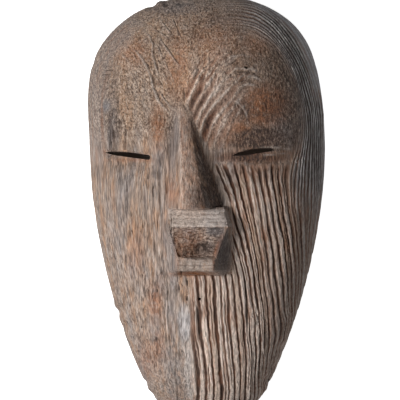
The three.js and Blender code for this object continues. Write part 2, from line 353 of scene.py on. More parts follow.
def outer_grid():
    """x, y, z of the smooth outside, rows from crown to chin, columns from the left rim to the right rim."""
    ys = even_rows()
    w, mid = half_width(ys), middle(ys)
    p = SECTION_POWER
    xs = np.zeros((ROWS, 2 * SIDE + MIDDLE))
    zs = np.zeros_like(xs)
    fine = 700
    for i, (y, wi, m) in enumerate(zip(ys, w, mid)):
        xl, xr = m - min(29.0, 0.45 * wi), m + min(38.0, 0.52 * wi)
        h = crest(np.array([y]))[0]

        def side(a0, a1):
            a = np.linspace(a0, a1, fine)
            x = m + wi * np.sign(a) * np.abs(np.sin(a)) ** (2 / p)
            z = h * np.maximum(np.cos(a), 0) ** (2 / p)
            z = z + relief(x, y) * clamp01(z / 30)
            run = np.r_[0, np.cumsum(np.hypot(np.diff(x), np.diff(z)))]
            at = np.linspace(0, run[-1], SIDE + 1)
            return np.interp(at, run, x), np.interp(at, run, z)

        left = side(-math.pi / 2, -math.asin((abs(xl - m) / wi) ** (p / 2)))
        right = side(math.asin((abs(xr - m) / wi) ** (p / 2)), math.pi / 2)
        x = np.linspace(xl, xr, fine)
        yy = np.full(fine, y)
        base = h * (1 - (np.abs(x - m) / wi) ** p) ** (1 / p)
        base = base + relief(x, y) * clamp01(base / 30)
        z = carved(x, yy, base)
        run = np.r_[0, np.cumsum(np.hypot(np.diff(x), 0.8 * np.diff(z)))]
        at = np.linspace(0, run[-1], MIDDLE + 1)
        xs[i, :SIDE] = left[0][:-1]
        zs[i, :SIDE] = left[1][:-1]
        xs[i, SIDE:SIDE + MIDDLE] = np.interp(at, run, x)[:-1]
        xs[i, SIDE + MIDDLE:] = right[0][1:]
        zs[i, SIDE + MIDDLE:] = right[1][1:]
    # even the columns out from row to row, then put them back on the surface
    sl = slice(SIDE, SIDE + MIDDLE)
    for _ in range(3):
        inner = xs[:, sl].copy()
        inner[1:-1] = (inner[:-2] + 2 * inner[1:-1] + inner[2:]) / 4
        xs[:, sl] = inner
    y2 = np.repeat(ys[:, None], MIDDLE, 1)
    r = clamp01(np.abs(xs[:, sl] - mid[:, None]) / w[:, None])
    base = crest(y2) * (1 - r ** p) ** (1 / p)
    base = base + relief(xs[:, sl], y2) * clamp01(base / 30)
    zs[:, sl] = carved(xs[:, sl], y2, base)
    zs[:, 0] = zs[:, -1] = 0
    return xs, np.repeat(ys[:, None], xs.shape[1], 1), zs


def grid_normals(x, y, z):
    p = np.stack([x, y, z], -1)
    du = np.gradient(p, axis=1)
    dv = np.gradient(p, axis=0)
    n = np.cross(du, -dv)
    n /= np.maximum(np.linalg.norm(n, axis=2, keepdims=True), 1e-9)
    flip = n[..., 2].mean() < 0
    return -n if flip else n


def spot(u, v, cu, cv, ru, rv, turn=0.0, power=2.0):
    """A soft patch in the front view: 1 in the middle, 0 outside."""
    c, s = math.cos(math.radians(turn)), math.sin(math.radians(turn))
    a, b = (u - cu) * c + (v - cv) * s, -(u - cu) * s + (v - cv) * c
    return np.exp(-(((a / ru) ** 2 + (b / rv) ** 2) ** (power / 2)))


# Cracks and single strokes of missing soft wood: the line, half-width (px), depth (mm), height (mm) of the raised
# lip on its lower left side. A negative depth is a raised thread of hard wood.
STROKES = [
    # left brow
    ([(130, 44), (137, 50), (143, 57), (148, 65), (152, 75), (155, 87), (158, 97), (163, 104), (169, 110), (174, 114)],
     1.1, 1.5, 0.6),
    ([(144, 27), (150, 35), (154, 43), (154, 55), (157, 66), (162, 78)], 0.95, 1.3, 0.5),
    ([(160, 37), (166, 45), (170, 51), (176, 60), (181, 66)], 0.9, 1.2, 0.5), ([(153, 40), (159, 47), (164, 57)], 0.7, 0.8, 0.3),
    ([(147, 22), (155, 28), (163, 33), (171, 39)], 0.75, 0.9, 0.3), ([(160, 17), (165, 24), (172, 33)], 0.75, 0.8, 0.3),
    ([(172, 14), (176, 26), (183, 40)], 0.7, 0.7, 0.3), ([(120, 41), (127, 46), (134, 54), (139, 62)], 0.7, 0.8, 0.3),
    ([(118, 50), (126, 57), (134, 68), (141, 80)], 0.65, 0.6, 0.3), ([(160, 90), (166, 100), (173, 108)], 0.75, 0.9, 0.6),
    ([(156, 93), (159, 101), (165, 107)], 0.5, -0.6, 0.0), ([(137, 96), (147, 106), (155, 116)], 0.65, 0.5, 0.4),
    ([(141, 82), (147, 92), (151, 101)], 0.6, 0.5, 0.3), ([(113, 82), (113.5, 96)], 1.0, 0.9, 0.0),
    ([(117, 94), (117.5, 111)], 1.0, 1.1, 0.0), ([(115, 105), (116, 125)], 1.15, 1.3, 0.0),
    ([(108, 118), (110, 136), (111, 150)], 1.0, 1.1, 0.0), ([(113, 96), (114.5, 112)], 1.1, 0.9, 0.0),
    ([(115.5, 112), (116, 127)], 1.0, 0.9, 0.0), ([(112.5, 128), (113, 139)], 1.5, 1.2, 0.0), ([(110, 140), (110.5, 150)], 1.6, 1.1, 0.0),
    ([(106, 98), (106.5, 106)], 1.3, 0.5, 0.0), ([(125.5, 128), (126, 147)], 0.9, 0.8, 0.0), ([(119, 118), (119.5, 131)], 0.7, 0.6, 0.0), ([(124, 112), (125, 142)], 0.8, 0.8, 0.0),
    ([(156, 109), (157, 116)], 1.1, 1.1, 0.0), ([(165, 60), (170, 72), (175, 84)], 0.65, 0.6, 0.3),
    ([(128, 66), (134, 76), (139, 90)], 0.6, 0.5, 0.3),
    # middle and right brow
    ([(183.5, 87), (184.5, 102)], 1.0, 1.2, 0.0), ([(223, 68), (231, 63.5), (239, 57)], 1.1, 1.1, -0.4),
    ([(209.5, 70), (210, 65)], 1.0, 0.9, 0.0), ([(202, 81), (205, 74)], 1.0, 1.0, 0.0),
    ([(193, 79), (200, 67)], 1.1, 1.1, -0.4), ([(265, 83), (267, 95), (266, 116)], 1.0, 0.5, 0.0),
    ([(254, 60), (255.5, 60.5)], 1.0, 0.9, 0.0),
    ([(227, 72), (238, 68), (250, 68.5), (262, 73)], 1.0, -0.7, 0.0), ([(229, 75), (240, 71.5), (252, 72.5), (262, 77)], 1.0, 1.0, 0.0),
    ([(232, 79), (243, 75.5), (254, 77), (264, 82)], 1.0, -0.7, 0.0), ([(236, 83), (246, 79.5), (256, 81.5)], 1.0, 0.9, 0.0),
    ([(238, 87), (248, 83.5), (258, 86)], 0.9, -0.6, 0.0), ([(222, 63), (231, 57), (243, 54.5), (255, 58)], 0.9, -0.5, 0.0), ([(229, 104), (235, 103.5), (240.5, 107), (244, 113), (245, 120)], 0.9, 0.6, -0.6),
    # left cheek
    ([(127.5, 184), (127, 208), (126, 233)], 0.65, 0.8, 0.2), ([(142, 172), (141.5, 198), (140.5, 214)], 0.6, 0.7, 0.15),
    ([(148, 168), (148, 182)], 0.7, 0.8, 0.0), ([(120, 171), (119.5, 190), (120, 206)], 0.55, 0.6, 0.15), ([(135, 246), (135.5, 262), (137, 281)], 0.6, 0.7, 0.2),
    ([(158, 214), (157, 238), (157.5, 262)], 0.6, 0.7, 0.2), ([(146, 252), (147, 272)], 0.6, 0.6, 0.15), ([(172, 208), (171.5, 232), (172, 262)], 0.6, 0.7, 0.2),
    ([(152, 268), (153, 296), (155, 318)], 0.6, 0.7, 0.2), ([(164, 300), (166, 336), (168, 362)], 0.6, 0.7, 0.2), ([(118, 214), (119.5, 238)], 0.55, 0.5, 0.15), ([(138, 211), (137, 241)], 0.8, 0.8, 0.0),
    ([(153, 219), (152, 238), (150, 256)], 0.8, 0.8, 0.0), ([(147, 179), (147.5, 191)], 0.9, 0.9, 0.0),
    ([(154, 190), (154, 196)], 1.0, 1.0, 0.0), ([(150, 202), (150, 208)], 1.0, 0.9, 0.0),
    ([(166.5, 160), (166, 206)], 0.8, 0.8, 0.3), ([(163, 205), (162, 232), (162.5, 260)], 0.8, 0.7, 0.5),
    # left chin
    ([(167, 269), (168, 300), (169, 335), (171, 345), (174, 354)], 0.7, 1.0, 0.3),
    ([(197, 302), (198, 320), (199.5, 341)], 1.35, 1.6, 0.3), ([(178, 322), (178.5, 356)], 0.8, -0.5, 0.0),
    ([(184, 338), (188, 380), (191, 397)], 0.8, -0.5, 0.0), ([(190, 335), (195, 380), (197, 397)], 0.8, -0.5, 0.0),
    ([(181, 273), (181, 277)], 1.1, 1.2, 0.0), ([(179, 286), (179, 290)], 1.1, 1.2, 0.0),
    ([(187, 281), (187, 285)], 1.0, 1.1, 0.0), ([(187, 296), (187, 300)], 1.0, 1.1, 0.0),
    ([(156.5, 290), (156.5, 292)], 1.1, 1.2, 0.0), ([(142, 275), (142, 277)], 1.0, 1.0, 0.0),
    ([(141, 326), (141, 328)], 1.0, 1.0, 0.0), ([(156, 338), (156, 342)], 1.0, 1.1, 0.0),
    ([(243.5, 268), (246.5, 300), (247.5, 336)], 1.3, 1.8, 0.3), ([(252, 300), (258, 322), (263, 348), (268, 374)], 0.7, -0.8, 0.0),
    ([(254, 308), (258, 318), (256, 330)], 1.0, 0.8, 0.5), ([(250, 338), (250, 366), (249, 398)], 1.0, -0.7, 0.0),
    ([(262, 300), (266, 330), (268, 350)], 0.9, 1.1, 0.3), ([(175, 366), (178, 400)], 0.9, 1.0, 0.3), ([(160, 352), (164, 398)], 0.7, 0.7, 0.2),
    ([(148, 300), (150, 334)], 0.7, 0.6, 0.2), ([(131, 262), (134, 296)], 0.7, 0.6, 0.2),
    # beside the right eye
    ([(258, 147.2), (275, 147.2), (291, 149)], 0.6, -0.4, 0.0), ([(257, 155.2), (272, 154.4), (289, 152.8)], 0.7, -0.5, 0.0),
    ([(217, 167), (226, 166.5), (235, 163.5)], 0.6, -0.5, 0.0),
]
# Worn and broken places on the outline: where, how wide and how high (px), how much is gone (mm).
CHIPS = [
    (152, 5, 5, 3, -1.2), (160, 2, 4, 3, 0.8), (167, 4, 4, 3, -1.6), (175, 2, 5, 3, -0.9), (183, 3, 4, 3, -1.3),
    (117, 304, 3, 4, 0.9), (118, 312, 3, 4, -1.3), (124, 318, 3, 3, 0.7), (125, 326, 3, 5, -1.1),
    (144, 383, 3, 3, -1.2), (147, 390, 3, 3, 0.7), (150, 396, 3, 3, -1.3),
    (325, 115, 3, 3.5, 0.9), (284, 339, 3, 3, 0.8), (281, 347, 3, 4, -1.1), (272, 367, 3, 3, -1.5),
    (268, 381, 4, 4.5, -3.0), (267, 389, 3, 3, 1.2), (92, 62, 3, 5, -0.7), (97, 210, 3, 8, -0.5),
]


def stroke_gap(u, v, line):
    """Distance to a bent line in the front view, how far along it, 0..1, and which side: 1 is the lower left."""
    best, where, side = np.full(u.shape, 1e9), np.zeros(u.shape), np.zeros(u.shape)
    lengths = [math.dist(a, b) for a, b in zip(line, line[1:])]
    total, run = sum(lengths), 0.0
    for (a, b), length in zip(zip(line, line[1:]), lengths):
        t = clamp01(((u - a[0]) * (b[0] - a[0]) + (v - a[1]) * (b[1] - a[1])) / length ** 2)
        d = np.hypot(u - a[0] - t * (b[0] - a[0]), v - a[1] - t * (b[1] - a[1]))
        closer = d < best
        cross = ((b[0] - a[0]) * (v - a[1]) - (b[1] - a[1]) * (u - a[0])) / length
        best = np.where(closer, d, best)
        side = np.where(closer, cross, side)
        where = np.where(closer, (run + t * length) / total, where)
        run += length
    return best, where, side


def weather(x, y, z, n):
    """Height change of the surface, in mm, and the masks that colour it."""
    shape = x.shape
    x, y, z = x.ravel(), y.ravel(), z.ravel()
    n = n.reshape(-1, 3)
    p = (x, y, z)
    points = np.stack(p, 1)
    u, v = seen(x, y, z)
    facing = n[:, 0] * math.sin(PSI) + n[:, 2] * math.cos(PSI)
    plain = face_z(x, y)
    standing = smooth(1.0, 3.5, z - plain) * ((np.abs(x) < 36) & (y < 92) & (y > -56))
    on_nose = standing * smooth(-6.0, -3.5, y)
    on_lips = standing * (1 - smooth(-6.0, -3.5, y))

    right = Rings(RIGHT_RINGS)(points)
    brow = Rings(BROW_RINGS)(points)

    # --- how strongly each run of rings stands out
    g_right, tone_right, w_right = grooves(right, p, 11, width=0.145, waver=0.05, wander=0.1, power=3.0)
    beside = np.where(v < 202, 190 + (v - 115) * 0.43, 230)
    beside = np.where(v > 274, 190, beside)
    start = 164.5 + 2.6 * noise(right * 0.9, 0.2, 0.4, 41) + 1.2 * noise(x / 2.5, 0.3, 0.1, 42)
    cheek = smooth(-3, 6, v - start) * smooth(-3, 6, u - beside)
    turned = smooth(9.7, lerp(13.0, 10.7, smooth(130, 175, v)), right) * smooth(205, 238, u)            # the close arcs on the turn of the head
    pinched = spot(u, v, 254, 312, 8, 30, turn=-4, power=3)
    crisp = smooth(234, 268, u)
    g_turn, _, w_turn = grooves(2 * right + 0.3, p, 15, width=0.25, waver=0.2, wander=0.45)
    smooth_rim_and_sheen = smooth(0.56, 0.34, facing) * smooth(112, 80, v) * smooth(245, 262, u)    # smooth wood beside the upper-right outline, where it turns from the front view; its colour below is a painted pale sheen
    g_right = lerp(g_right, 0.75 * g_turn, turned * smooth(235, 185, v))
    s_right = np.maximum(cheek * (1 - 0.45 * pinched), turned * (0.25 + 0.7 * crisp) * (1 - 0.6 * smooth_rim_and_sheen)) * (1 - standing)
    fading = smooth(258 + 14 * noise(right * 0.6, 0.1, 0.9, 43), 168, v)
    fine_arcs = turned * smooth(9.6, 12.2, right) * (0.15 + 0.85 * crisp) * fading * (1 - standing) * (1 - 0.8 * smooth_rim_and_sheen)
    crest_line = fine_arcs * np.exp(-((np.abs(w_turn - np.round(w_turn)) - 0.45) / 0.2) ** 2)
    s_brow = (smooth(-2.6, -0.6, brow) * smooth(6.4, 5.5, brow) * spot(u, v, 221, 100, 48, 58, turn=35, power=6)
              * (0.40 + 0.60 * smooth(262, 222, u)) * smooth(0, 6, u - beside) * smooth(158, 148, v))
    s_brow = s_brow * (1 - standing) * (1 - turned)

    g_brow, tone_brow, w_brow = grooves(brow, p, 31, width=0.29, waver=0.10, wander=0.05, power=2.0)
    g_close, _, _ = grooves(2 * brow + 0.4, p, 35, width=0.24, waver=0.3, wander=0.1)
    high = smooth(96, 70, v)                                           # higher up the arcs split and break into pieces
    g_brow = lerp(g_brow, 0.85 * g_close * (0.35 + 0.65 * smooth(-0.25, 0.2, fbm(x / 5, y / 5, z / 5, 37, 2))), high)
    in_brow = s_brow > s_right
    tone = np.where(in_brow, tone_brow, tone_right)
    edge_l = smooth(0.80, 0.62, facing) * smooth(150, 120, u) * smooth(190, 150, v)    # lines along the left outline
    g_left, _, _ = grooves(z / 7.5 + 0.5 * noise(x / 20, y / 30, 0.2, 44), p, 46, width=0.2, waver=0.3, wander=0.3)

    h = 0.5 * fbm(x / 34, y / 46, z / 34, 3, 2)
    h -= s_right * ((1.7 - 0.6 * fine_arcs) * g_right - 0.2 - 0.4 * (tone - 0.5) * (1 - fine_arcs))
    bead = smooth(-0.1, 0.5, fbm(x / 2.4, y / 2.4, z / 2.4, 45, 2))
    h -= s_brow * ((1.45 + 0.6 * smooth(225, 200, u)) * g_brow - 0.4 + 0.65 * bead
                   + 0.55 * fbm(x / 1.4, y / 1.6, z / 1.4, 39, 2))
    h -= 0.45 * edge_l * g_left
    groove = np.maximum(np.maximum(s_right * g_right * (1 - 0.75 * fine_arcs), (0.42 + 0.33 * smooth(222, 200, u)) * s_brow * g_brow), 0.22 * edge_l * g_left)
    ringed = np.maximum(s_right, 0.12 * s_brow)
    brow_ridge = s_brow * np.exp(-((np.abs(w_brow - np.round(w_brow)) - 0.5) / 0.14) ** 2)

    # --- fine grain: short broken fibres that run up and down, and end grain where the surface cuts across them
    lean = 0.05 * y
    quiet = 1 - ringed
    end = np.maximum(smooth(155, 120, v), 0.95 * spot(u, v, 262, 138, 42, 13, power=6)) * (1 - on_nose * 0.6)
    slant_l = spot(u, v, 145, 70, 36, 46, power=4)          # how the end grain is drawn out: down to the right here,
    slant_r = np.maximum(spot(u, v, 206, 78, 22, 36, turn=24, power=4), clamp01(s_brow))  # down to the left there, up and down elsewhere
    c, s = math.cos(0.60), math.sin(0.60)
    al, bl = (x * c + y * s), (-x * s + y * c)
    ar, br = (x * c - y * s), (x * s + y * c)
    fibre = fbm((x + lean) / 1.5, y / 22, z / 1.5, 5, 2)
    coarse = fbm((x + lean) / 4.0, y / 48, z / 4.0, 6, 2)
    dots = (fbm(x / 1.5, y / 2.6, z / 1.5, 7, 2) * (1 - slant_l) * (1 - slant_r)
            + fbm(al / 1.4, bl / 3.4, z / 1.8, 71, 2) * slant_l + fbm(ar / 1.6, br / 3.0, z / 1.8, 72, 2) * slant_r)
    h += (1 - end) * quiet * (0.20 * coarse - 0.40 * smooth(0.12, 0.55, fibre))
    h += end * quiet * (0.24 * dots - (0.60 - 0.2 * slant_l) * smooth(0.16, 0.50, dots))
    h += 0.15 * dots * (1 - quiet)
    ticks = spot(u, v, 109, 79, 9, 18, power=4)                      # a ladder of short cuts across the left temple
    rungs = ticks * smooth(0.35, 0.9, np.cos(2 * math.pi * (v + 1.2 * noise(x / 6, y / 9, 0.1, 47)) / 4.4)) * smooth(-0.5, 0.1, noise(x / 5, y / 5, z / 5, 68))
    h -= 1.0 * rungs
    pore = np.maximum((1 - end) * quiet * smooth(0.10, 0.5, fibre) * 0.8, end * quiet * smooth(0.12, 0.45, dots))

    # --- creases below the eyes
    below_r = smooth(212, 220, u) * smooth(306, 296, u)
    below_l = smooth(100, 108, u) * smooth(162, 152, u)
    uneven = 1.3 * noise(x / 5, 0.2, 0.7, 48) + 0.7 * noise(x / 1.9, 0.2, 0.7, 49)
    for mask, at, tilt, cu, deep in ((below_r, 161.5, -0.02, 255, 0.8), (below_l, 163.5, 0.04, 130, 0.3)):
        d = v + uneven - (at + tilt * (u - cu))
        h -= deep * mask * np.exp(-(d / 1.5) ** 2)
    lower_lid = spot(u, v, 252, 157, 38, 6, power=4) * (1 - standing)
    # the lids: a soft swelling above and below each slit
    lid = np.zeros_like(x)
    for line in (LEFT_EYE, RIGHT_EYE):
        d, along, side = stroke_gap(u, v, line)
        ends = smooth(0.0, 0.1, along) * smooth(1.0, 0.85, along)
        h += 0.6 * np.exp(-((d - 5.0) / 2.2) ** 2) * ends
        h -= 0.8 * np.exp(-(d / 2.2) ** 2)
        lid = np.maximum(lid, ends * np.exp(-((np.abs(side) - 5.0) / 2.0) ** 2) * (d < 9))
    d, along, _ = stroke_gap(u, v, [(272, 150.5), (293, 151)])
    scratch = np.exp(-(d / 0.9) ** 2) * smooth(1, 0.6, along)
    h -= 1.0 * scratch

    # --- rough places
    mouth = (on_lips * smooth(226.0, 228.5, v) * smooth(258.5, 256.0, v) * smooth(-1.0, 1.0, u - np.interp(v, (226, 231, 243, 258), (171, 167.5, 169.5, 176.5)))
             * smooth(1.0, -1.0, u - np.interp(v, (226, 258), (224, 213.5))))
    rough = fbm(x / 2.3, y / 2.3, z / 2.3, 8, 3)
    crown = spot(u, v, 166, 3, 26, 12, power=3)
    snub = spot(u, v, 200, 196, 9, 12, turn=15, power=3) * on_nose
    for mask, deep in ((mouth, 1.3), (pinched, 1.2), (crown, 0.9), (snub, 0.7), (lower_lid, 0.6)):
        h += mask * deep * (rough - 0.2)
    front = smooth(-1.2, 0.2, u - np.interp(v, (205, 258, 275), (167, 177.5, 177.5)))
    ledge = on_lips * smooth(227.5, 225.5, v) * front
    low_lip = on_lips * smooth(256.5, 258.5, v) * smooth(272.5, 270.5, v) * front
    bevel = on_lips * (1 - front)
    level = np.zeros_like(x)
    bend = 0.7 * noise(x / 9, 0.4, 0.3, 9)
    for band, at, wide in ((ledge, 214.3, 0.8), (ledge, 219.0, 0.7), (ledge, 222.4, 0.9),
                           (low_lip, 261.5, 0.8), (low_lip, 265.3, 0.9), (low_lip, 269.0, 0.8)):
        level = np.maximum(level, band * np.exp(-((v + bend - at) / wide) ** 2) * (0.7 + 0.4 * noise(x / 6, at, 0.2, 13)))
    h -= 0.5 * level

    # --- cracks, strokes, chips
    crack, thread = np.zeros_like(x), 0.6 * brow_ridge * (1 - 0.6 * high) * smooth(-0.15, 0.3, noise(x / 1.4, y / 1.4, z / 1.4, 38))
    wob_u, wob_v = 0.45 * noise(x / 5, y / 6, z / 5, 12), 0.45 * noise(x / 5, y / 6, z / 5, 14)
    for k, (line, half, deep, lip) in enumerate(STROKES):
        if line[0][1] < 110 and line[0][0] < 176 and deep > 0:
            half, deep = half * 0.85, deep * 0.8                        # hair cracks of the left brow
        d, along, side = stroke_gap(u + wob_u, v + wob_v, line)
        taper = 0.1 + 0.9 * np.minimum(1, 5 * np.minimum(along, 1 - along)) if math.dist(line[0], line[-1]) > 6 else 1.0
        if line[-1][1] > 396:
            taper = np.minimum(1, 0.1 + 5 * along)
        uneven = 0.85 + 0.3 * noise(x / 3.5, y / 5, z / 3.5, 60 + k)
        if half < 0.96 and math.dist(line[0], line[-1]) > 14:
            uneven = uneven * (0.6 + 0.4 * smooth(-0.35, 0.15, noise(x / 3, y / 4.5, z / 3, 90 + k)))
        c = np.exp(-np.abs(d / (half * np.maximum(taper, 0.5))) ** 2.4) * (d < 6) * taper * uneven
        h -= deep * c
        if deep > 0:
            crack = np.maximum(crack, c * min(1.0, (0.10 + 0.38 * deep) if half < 0.96 else (0.15 + 0.55 * deep)))
        else:
            thread = np.maximum(thread, c)
        if lip:
            r = np.exp(-(((side if lip > 0 else -side) - half * 2.1) / (half * 1.1)) ** 2) * (d < 6) * taper
            h += abs(lip) * r
            thread = np.maximum(thread, r * min(1.0, abs(lip) * 1.3))
    crack = np.maximum(np.maximum(crack, 0.5 * scratch), 0.6 * rungs)
    thread = thread * (1 - 0.65 * s_brow * smooth(-0.2, 0.2, noise(x / 1.6, y / 1.6, z / 1.6, 75)))
    for cu, cv, ru, rv, amount in CHIPS:
        h += amount * spot(u, v, cu, cv, ru, rv) * smooth(0.75, 0.4, facing)

    # --- the low rim is quieter and keeps its outline
    low = smooth(0.0, 9.0, z)
    h = h * (0.25 + 0.75 * low)

    masks = {
        "groove": clamp01(groove), "crack": clamp01(crack), "end_grain": end * quiet, "pore": clamp01(pore),
        "rings": np.stack([np.where(in_brow, w_brow, w_right), y, z], 1), "ringed": clamp01(ringed), "thread": clamp01(thread),
        "mouth": mouth, "pinched": pinched, "bevel": bevel, "lower_lid": lower_lid, "tone": tone, "fine_ring": clamp01(np.maximum(fine_arcs, 0.3 * s_right * (1 - turned))),
        "edge_l": edge_l, "fine_arcs": fine_arcs, "snub": snub, "level": clamp01(level), "lid": lid, "scratch": scratch,
        "across": clamp01(mouth + ledge + low_lip), "plane": clamp01(ledge + low_lip), "smooth_rim_and_sheen": smooth_rim_and_sheen, "s_brow": s_brow,
        "close": np.where(turned > 0.02, w_turn, 2 * w_right + 0.9 * noise(x / 9, y / 9, z / 9, 53)), "crest_line": crest_line,
        "u": u, "v": v, "facing": facing, "on_nose": on_nose, "on_lips": on_lips, "ledge": ledge,
        "low_lip": low_lip, "crown": crown, "turned": turned, "slant_l": slant_l, "slant_r": slant_r,
    }
    return h.reshape(shape), masks


# ------------------------------------------------------------------ meshes
def mesh_from(name, points, quads, ngons=()):
    me = bpy.data.meshes.new(name)
    faces = [q for q in quads.tolist()] + [list(f) for f in ngons]
    me.from_pydata(points.tolist(), [], faces)
    me.update()
    ob = bpy.data.objects.new(name, me)
    bpy.context.scene.collection.objects.link(ob)
    return ob


def grid_solid(name, x, y, z, unit=1.0):
    """Closes a grid of rows into a solid: a flat underside between its first and last column, and two flat ends."""
    rows, cols = x.shape
    pts = np.stack([x, y, z], -1).reshape(-1, 3) * unit
    i, j = np.meshgrid(np.arange(rows - 1), np.arange(cols - 1), indexing="ij")
    a = (i * cols + j).ravel()
    quads = np.stack([a, a + cols, a + cols + 1, a + 1], 1)
    r = np.arange(rows - 1)
    under = np.stack([r * cols, r * cols + cols - 1, (r + 1) * cols + cols - 1, (r + 1) * cols], 1)
    quads = np.concatenate([quads, under])
    last = (rows - 1) * cols
    return mesh_from(name, pts, quads, [range(0, cols), range(last + cols - 1, last - 1, -1)])


def oriented(ob):
    """Turns the faces outwards."""
    import bmesh
    bm = bmesh.new()
    bm.from_mesh(ob.data)
    bmesh.ops.triangulate(bm, faces=[f for f in bm.faces if len(f.verts) > 4])
    if bm.calc_volume(signed=True) < 0:
        bmesh.ops.reverse_faces(bm, faces=bm.faces)
    bm.to_mesh(ob.data)
    bm.free()
    return ob


def hollow_solid():
    """The hollow behind: the outside again, smaller by the walls, with the shallow cups that an adze leaves."""
    rows, cols = 150, 130
    top, chin = TOP_Y - WALL_END, CHIN_Y + WALL_END
    y = np.linspace(top - 0.2, chin + 0.2, 4000)
    outer = TOP_Y + (y - top) * (TOP_Y - CHIN_Y) / (top - chin)
    wide = half_width(outer) * (HALF_WIDTH - WALL_SIDE) / HALF_WIDTH
    high = crest(outer) * (CREST - WALL_FACE) / CREST
    run = np.r_[0, np.cumsum(np.sqrt(np.diff(y) ** 2 + (0.7 * np.diff(wide)) ** 2 + np.diff(high) ** 2))]
    at = np.linspace(0, run[-1], rows)
    ys, wide, high = (np.interp(at, run, q) for q in (y, wide, high))
    p = HOLLOW_POWER
    fa = np.linspace(-math.pi / 2, math.pi / 2, 3000)
    fx, fz = np.sign(fa) * np.abs(np.sin(fa)) ** (2 / p) * 76, np.maximum(np.cos(fa), 0) ** (2 / p) * 62
    run = np.r_[0, np.cumsum(np.hypot(np.diff(fx), np.diff(fz)))]
    a = np.interp(np.linspace(0, run[-1], cols), run, fa)
    x = middle(ys)[:, None] + wide[:, None] * (np.sign(a) * np.abs(np.sin(a)) ** (2 / p))[None]
    z = high[:, None] * (np.maximum(np.cos(a), 0) ** (2 / p))[None]
    y = np.repeat(ys[:, None], cols, 1)
    nrm = grid_normals(x, y, z)
    flat = (x.ravel(), y.ravel(), z.ravel())
    best = np.full(x.size, 9.0)
    for gx in (-1, 0, 1):           # cups: the nearest of a jittered set of centres
        for gy in (-1, 0, 1):
            for gz in (-1, 0, 1):
                cx, cy, cz = (np.floor(q / s) + g for q, s, g in zip(flat, (9.0, 15.0, 9.0), (gx, gy, gz)))
                jx, jy, jz = (_hash(cx.astype(np.int64), cy.astype(np.int64), cz.astype(np.int64), 200 + s) for s in range(3))
                d = ((flat[0] / 9.0 - cx - jx) ** 2 + (flat[1] / 15.0 - cy - jy) ** 2 + (flat[2] / 9.0 - cz - jz) ** 2)
                best = np.minimum(best, d)
    cups = (0.45 - best.reshape(x.shape)) * 1.0
    depth = cups + 0.3 * fbm(x / 20, y / 30, z / 20, 21, 2) + 0.12 * fbm(x / 2, y / 14, z / 2, 22, 2)
    depth *= smooth(0.0, 8.0, z)
    x, y, z = (q + depth * nrm[..., k] for k, q in enumerate((x, y, z)))
    z[:, 0] = z[:, -1] = -6.0
    z[:, 1:-1] = np.maximum(z[:, 1:-1], 0.02)
    return x, y, z


def slit_cutter(k, bx, by, px, py, high, bow, full, taper):
    """A long lens, blunt at one end and pointed at the other, with frayed edges, pushed through the wall."""
    length = math.hypot(px - bx, py - by)
    s = (1 - np.cos(np.linspace(0, math.pi, 41))) / 2
    half = high / 2 * np.sqrt(np.minimum(1, s / 0.03)) * lerp(full, 1, np.sin(np.minimum(1, s / 0.5) * math.pi / 2))
    half = half * (1 - s ** taper)
    centre = 4 * s * (1 - s) * bow
    fray = 0.25 * smooth(0, 0.1, s) * smooth(1, 0.9, s)
    up = centre + half + fray * noise(s * length / 1.6, 0.3, 0.5, 70 + k)
    low = centre - half + fray * noise(s * length / 1.6, 4.3, 0.5, 80 + k)
    dx, dy = (px - bx) / length, (py - by) / length
    side = 1 if dx > 0 else -1
    along = np.r_[s, s[-2:0:-1]] * length
    off = np.r_[up, low[-2:0:-1]] * side
    x, y = bx + along * dx - off * dy, by + along * dy + off * dx
    n = len(x)
    pts = np.concatenate([np.stack([x, y, np.full(n, z)], 1) for z in (30.0, 100.0)])
    r = np.arange(n)
    quads = np.stack([r, (r + 1) % n, n + (r + 1) % n, n + r], 1)
    return pts, quads, [range(n - 1, -1, -1), range(n, 2 * n)]


# Small holes: where in the front view, half-width, half-height (mm), depth (mm).
HOLES = [(246, 67.5, 1.5, 1.0, 8), (199, 299, 1.25, 1.25, 8), (306, 264, 0.9, 2.0, 4), (296.5, 286, 0.75, 0.8, 4),
         (302, 285, 0.7, 0.7, 3), (283, 337, 0.8, 1.0, 3), (272, 366, 0.9, 1.4, 3)]


def hole_cutters():
    pts, quads, ngons = [], [], []
    base = 0
    for k, (u, v, rx, ry, deep) in enumerate(HOLES):
        at, on = onto(np.array([u]), np.array([v]))
        if not on[0]:
            continue
        at = at[0]
        e = 0.4
        q = np.array([[at[0] + e, at[1]], [at[0] - e, at[1]], [at[0], at[1] + e], [at[0], at[1] - e]])
        f = face_z(q[:, 0], q[:, 1])
        n = np.array([-(f[0] - f[1]) / (2 * e), -(f[2] - f[3]) / (2 * e), 1.0])
        n /= np.linalg.norm(n)
        up = np.array([0.0, 1.0, 0.0])
        a = np.cross(up, n)
        a /= np.linalg.norm(a)
        b = np.cross(n, a)
        ring = np.linspace(0, 2 * math.pi, 12, endpoint=False)
        for d, s in ((4.0, 1.25), (0.2, 1.05), (-deep, 0.7)):
            wob = 1 + 0.15 * np.array([math.sin(3 * t + k) for t in ring])
            pts.append(at + n * d + (np.cos(ring) * rx * s * wob)[:, None] * a + (np.sin(ring) * ry * s * wob)[:, None] * b)
        m = len(ring)
        r = np.arange(m)
        for lev in (0, 1):
            o = base + lev * m
            quads.append(np.stack([o + r, o + (r + 1) % m, o + m + (r + 1) % m, o + m + r], 1))
        ngons.append([base + i for i in range(m - 1, -1, -1)])
        ngons.append([base + 2 * m + i for i in range(m)])
        base += 3 * m
    return np.concatenate(pts), np.concatenate(quads), ngons


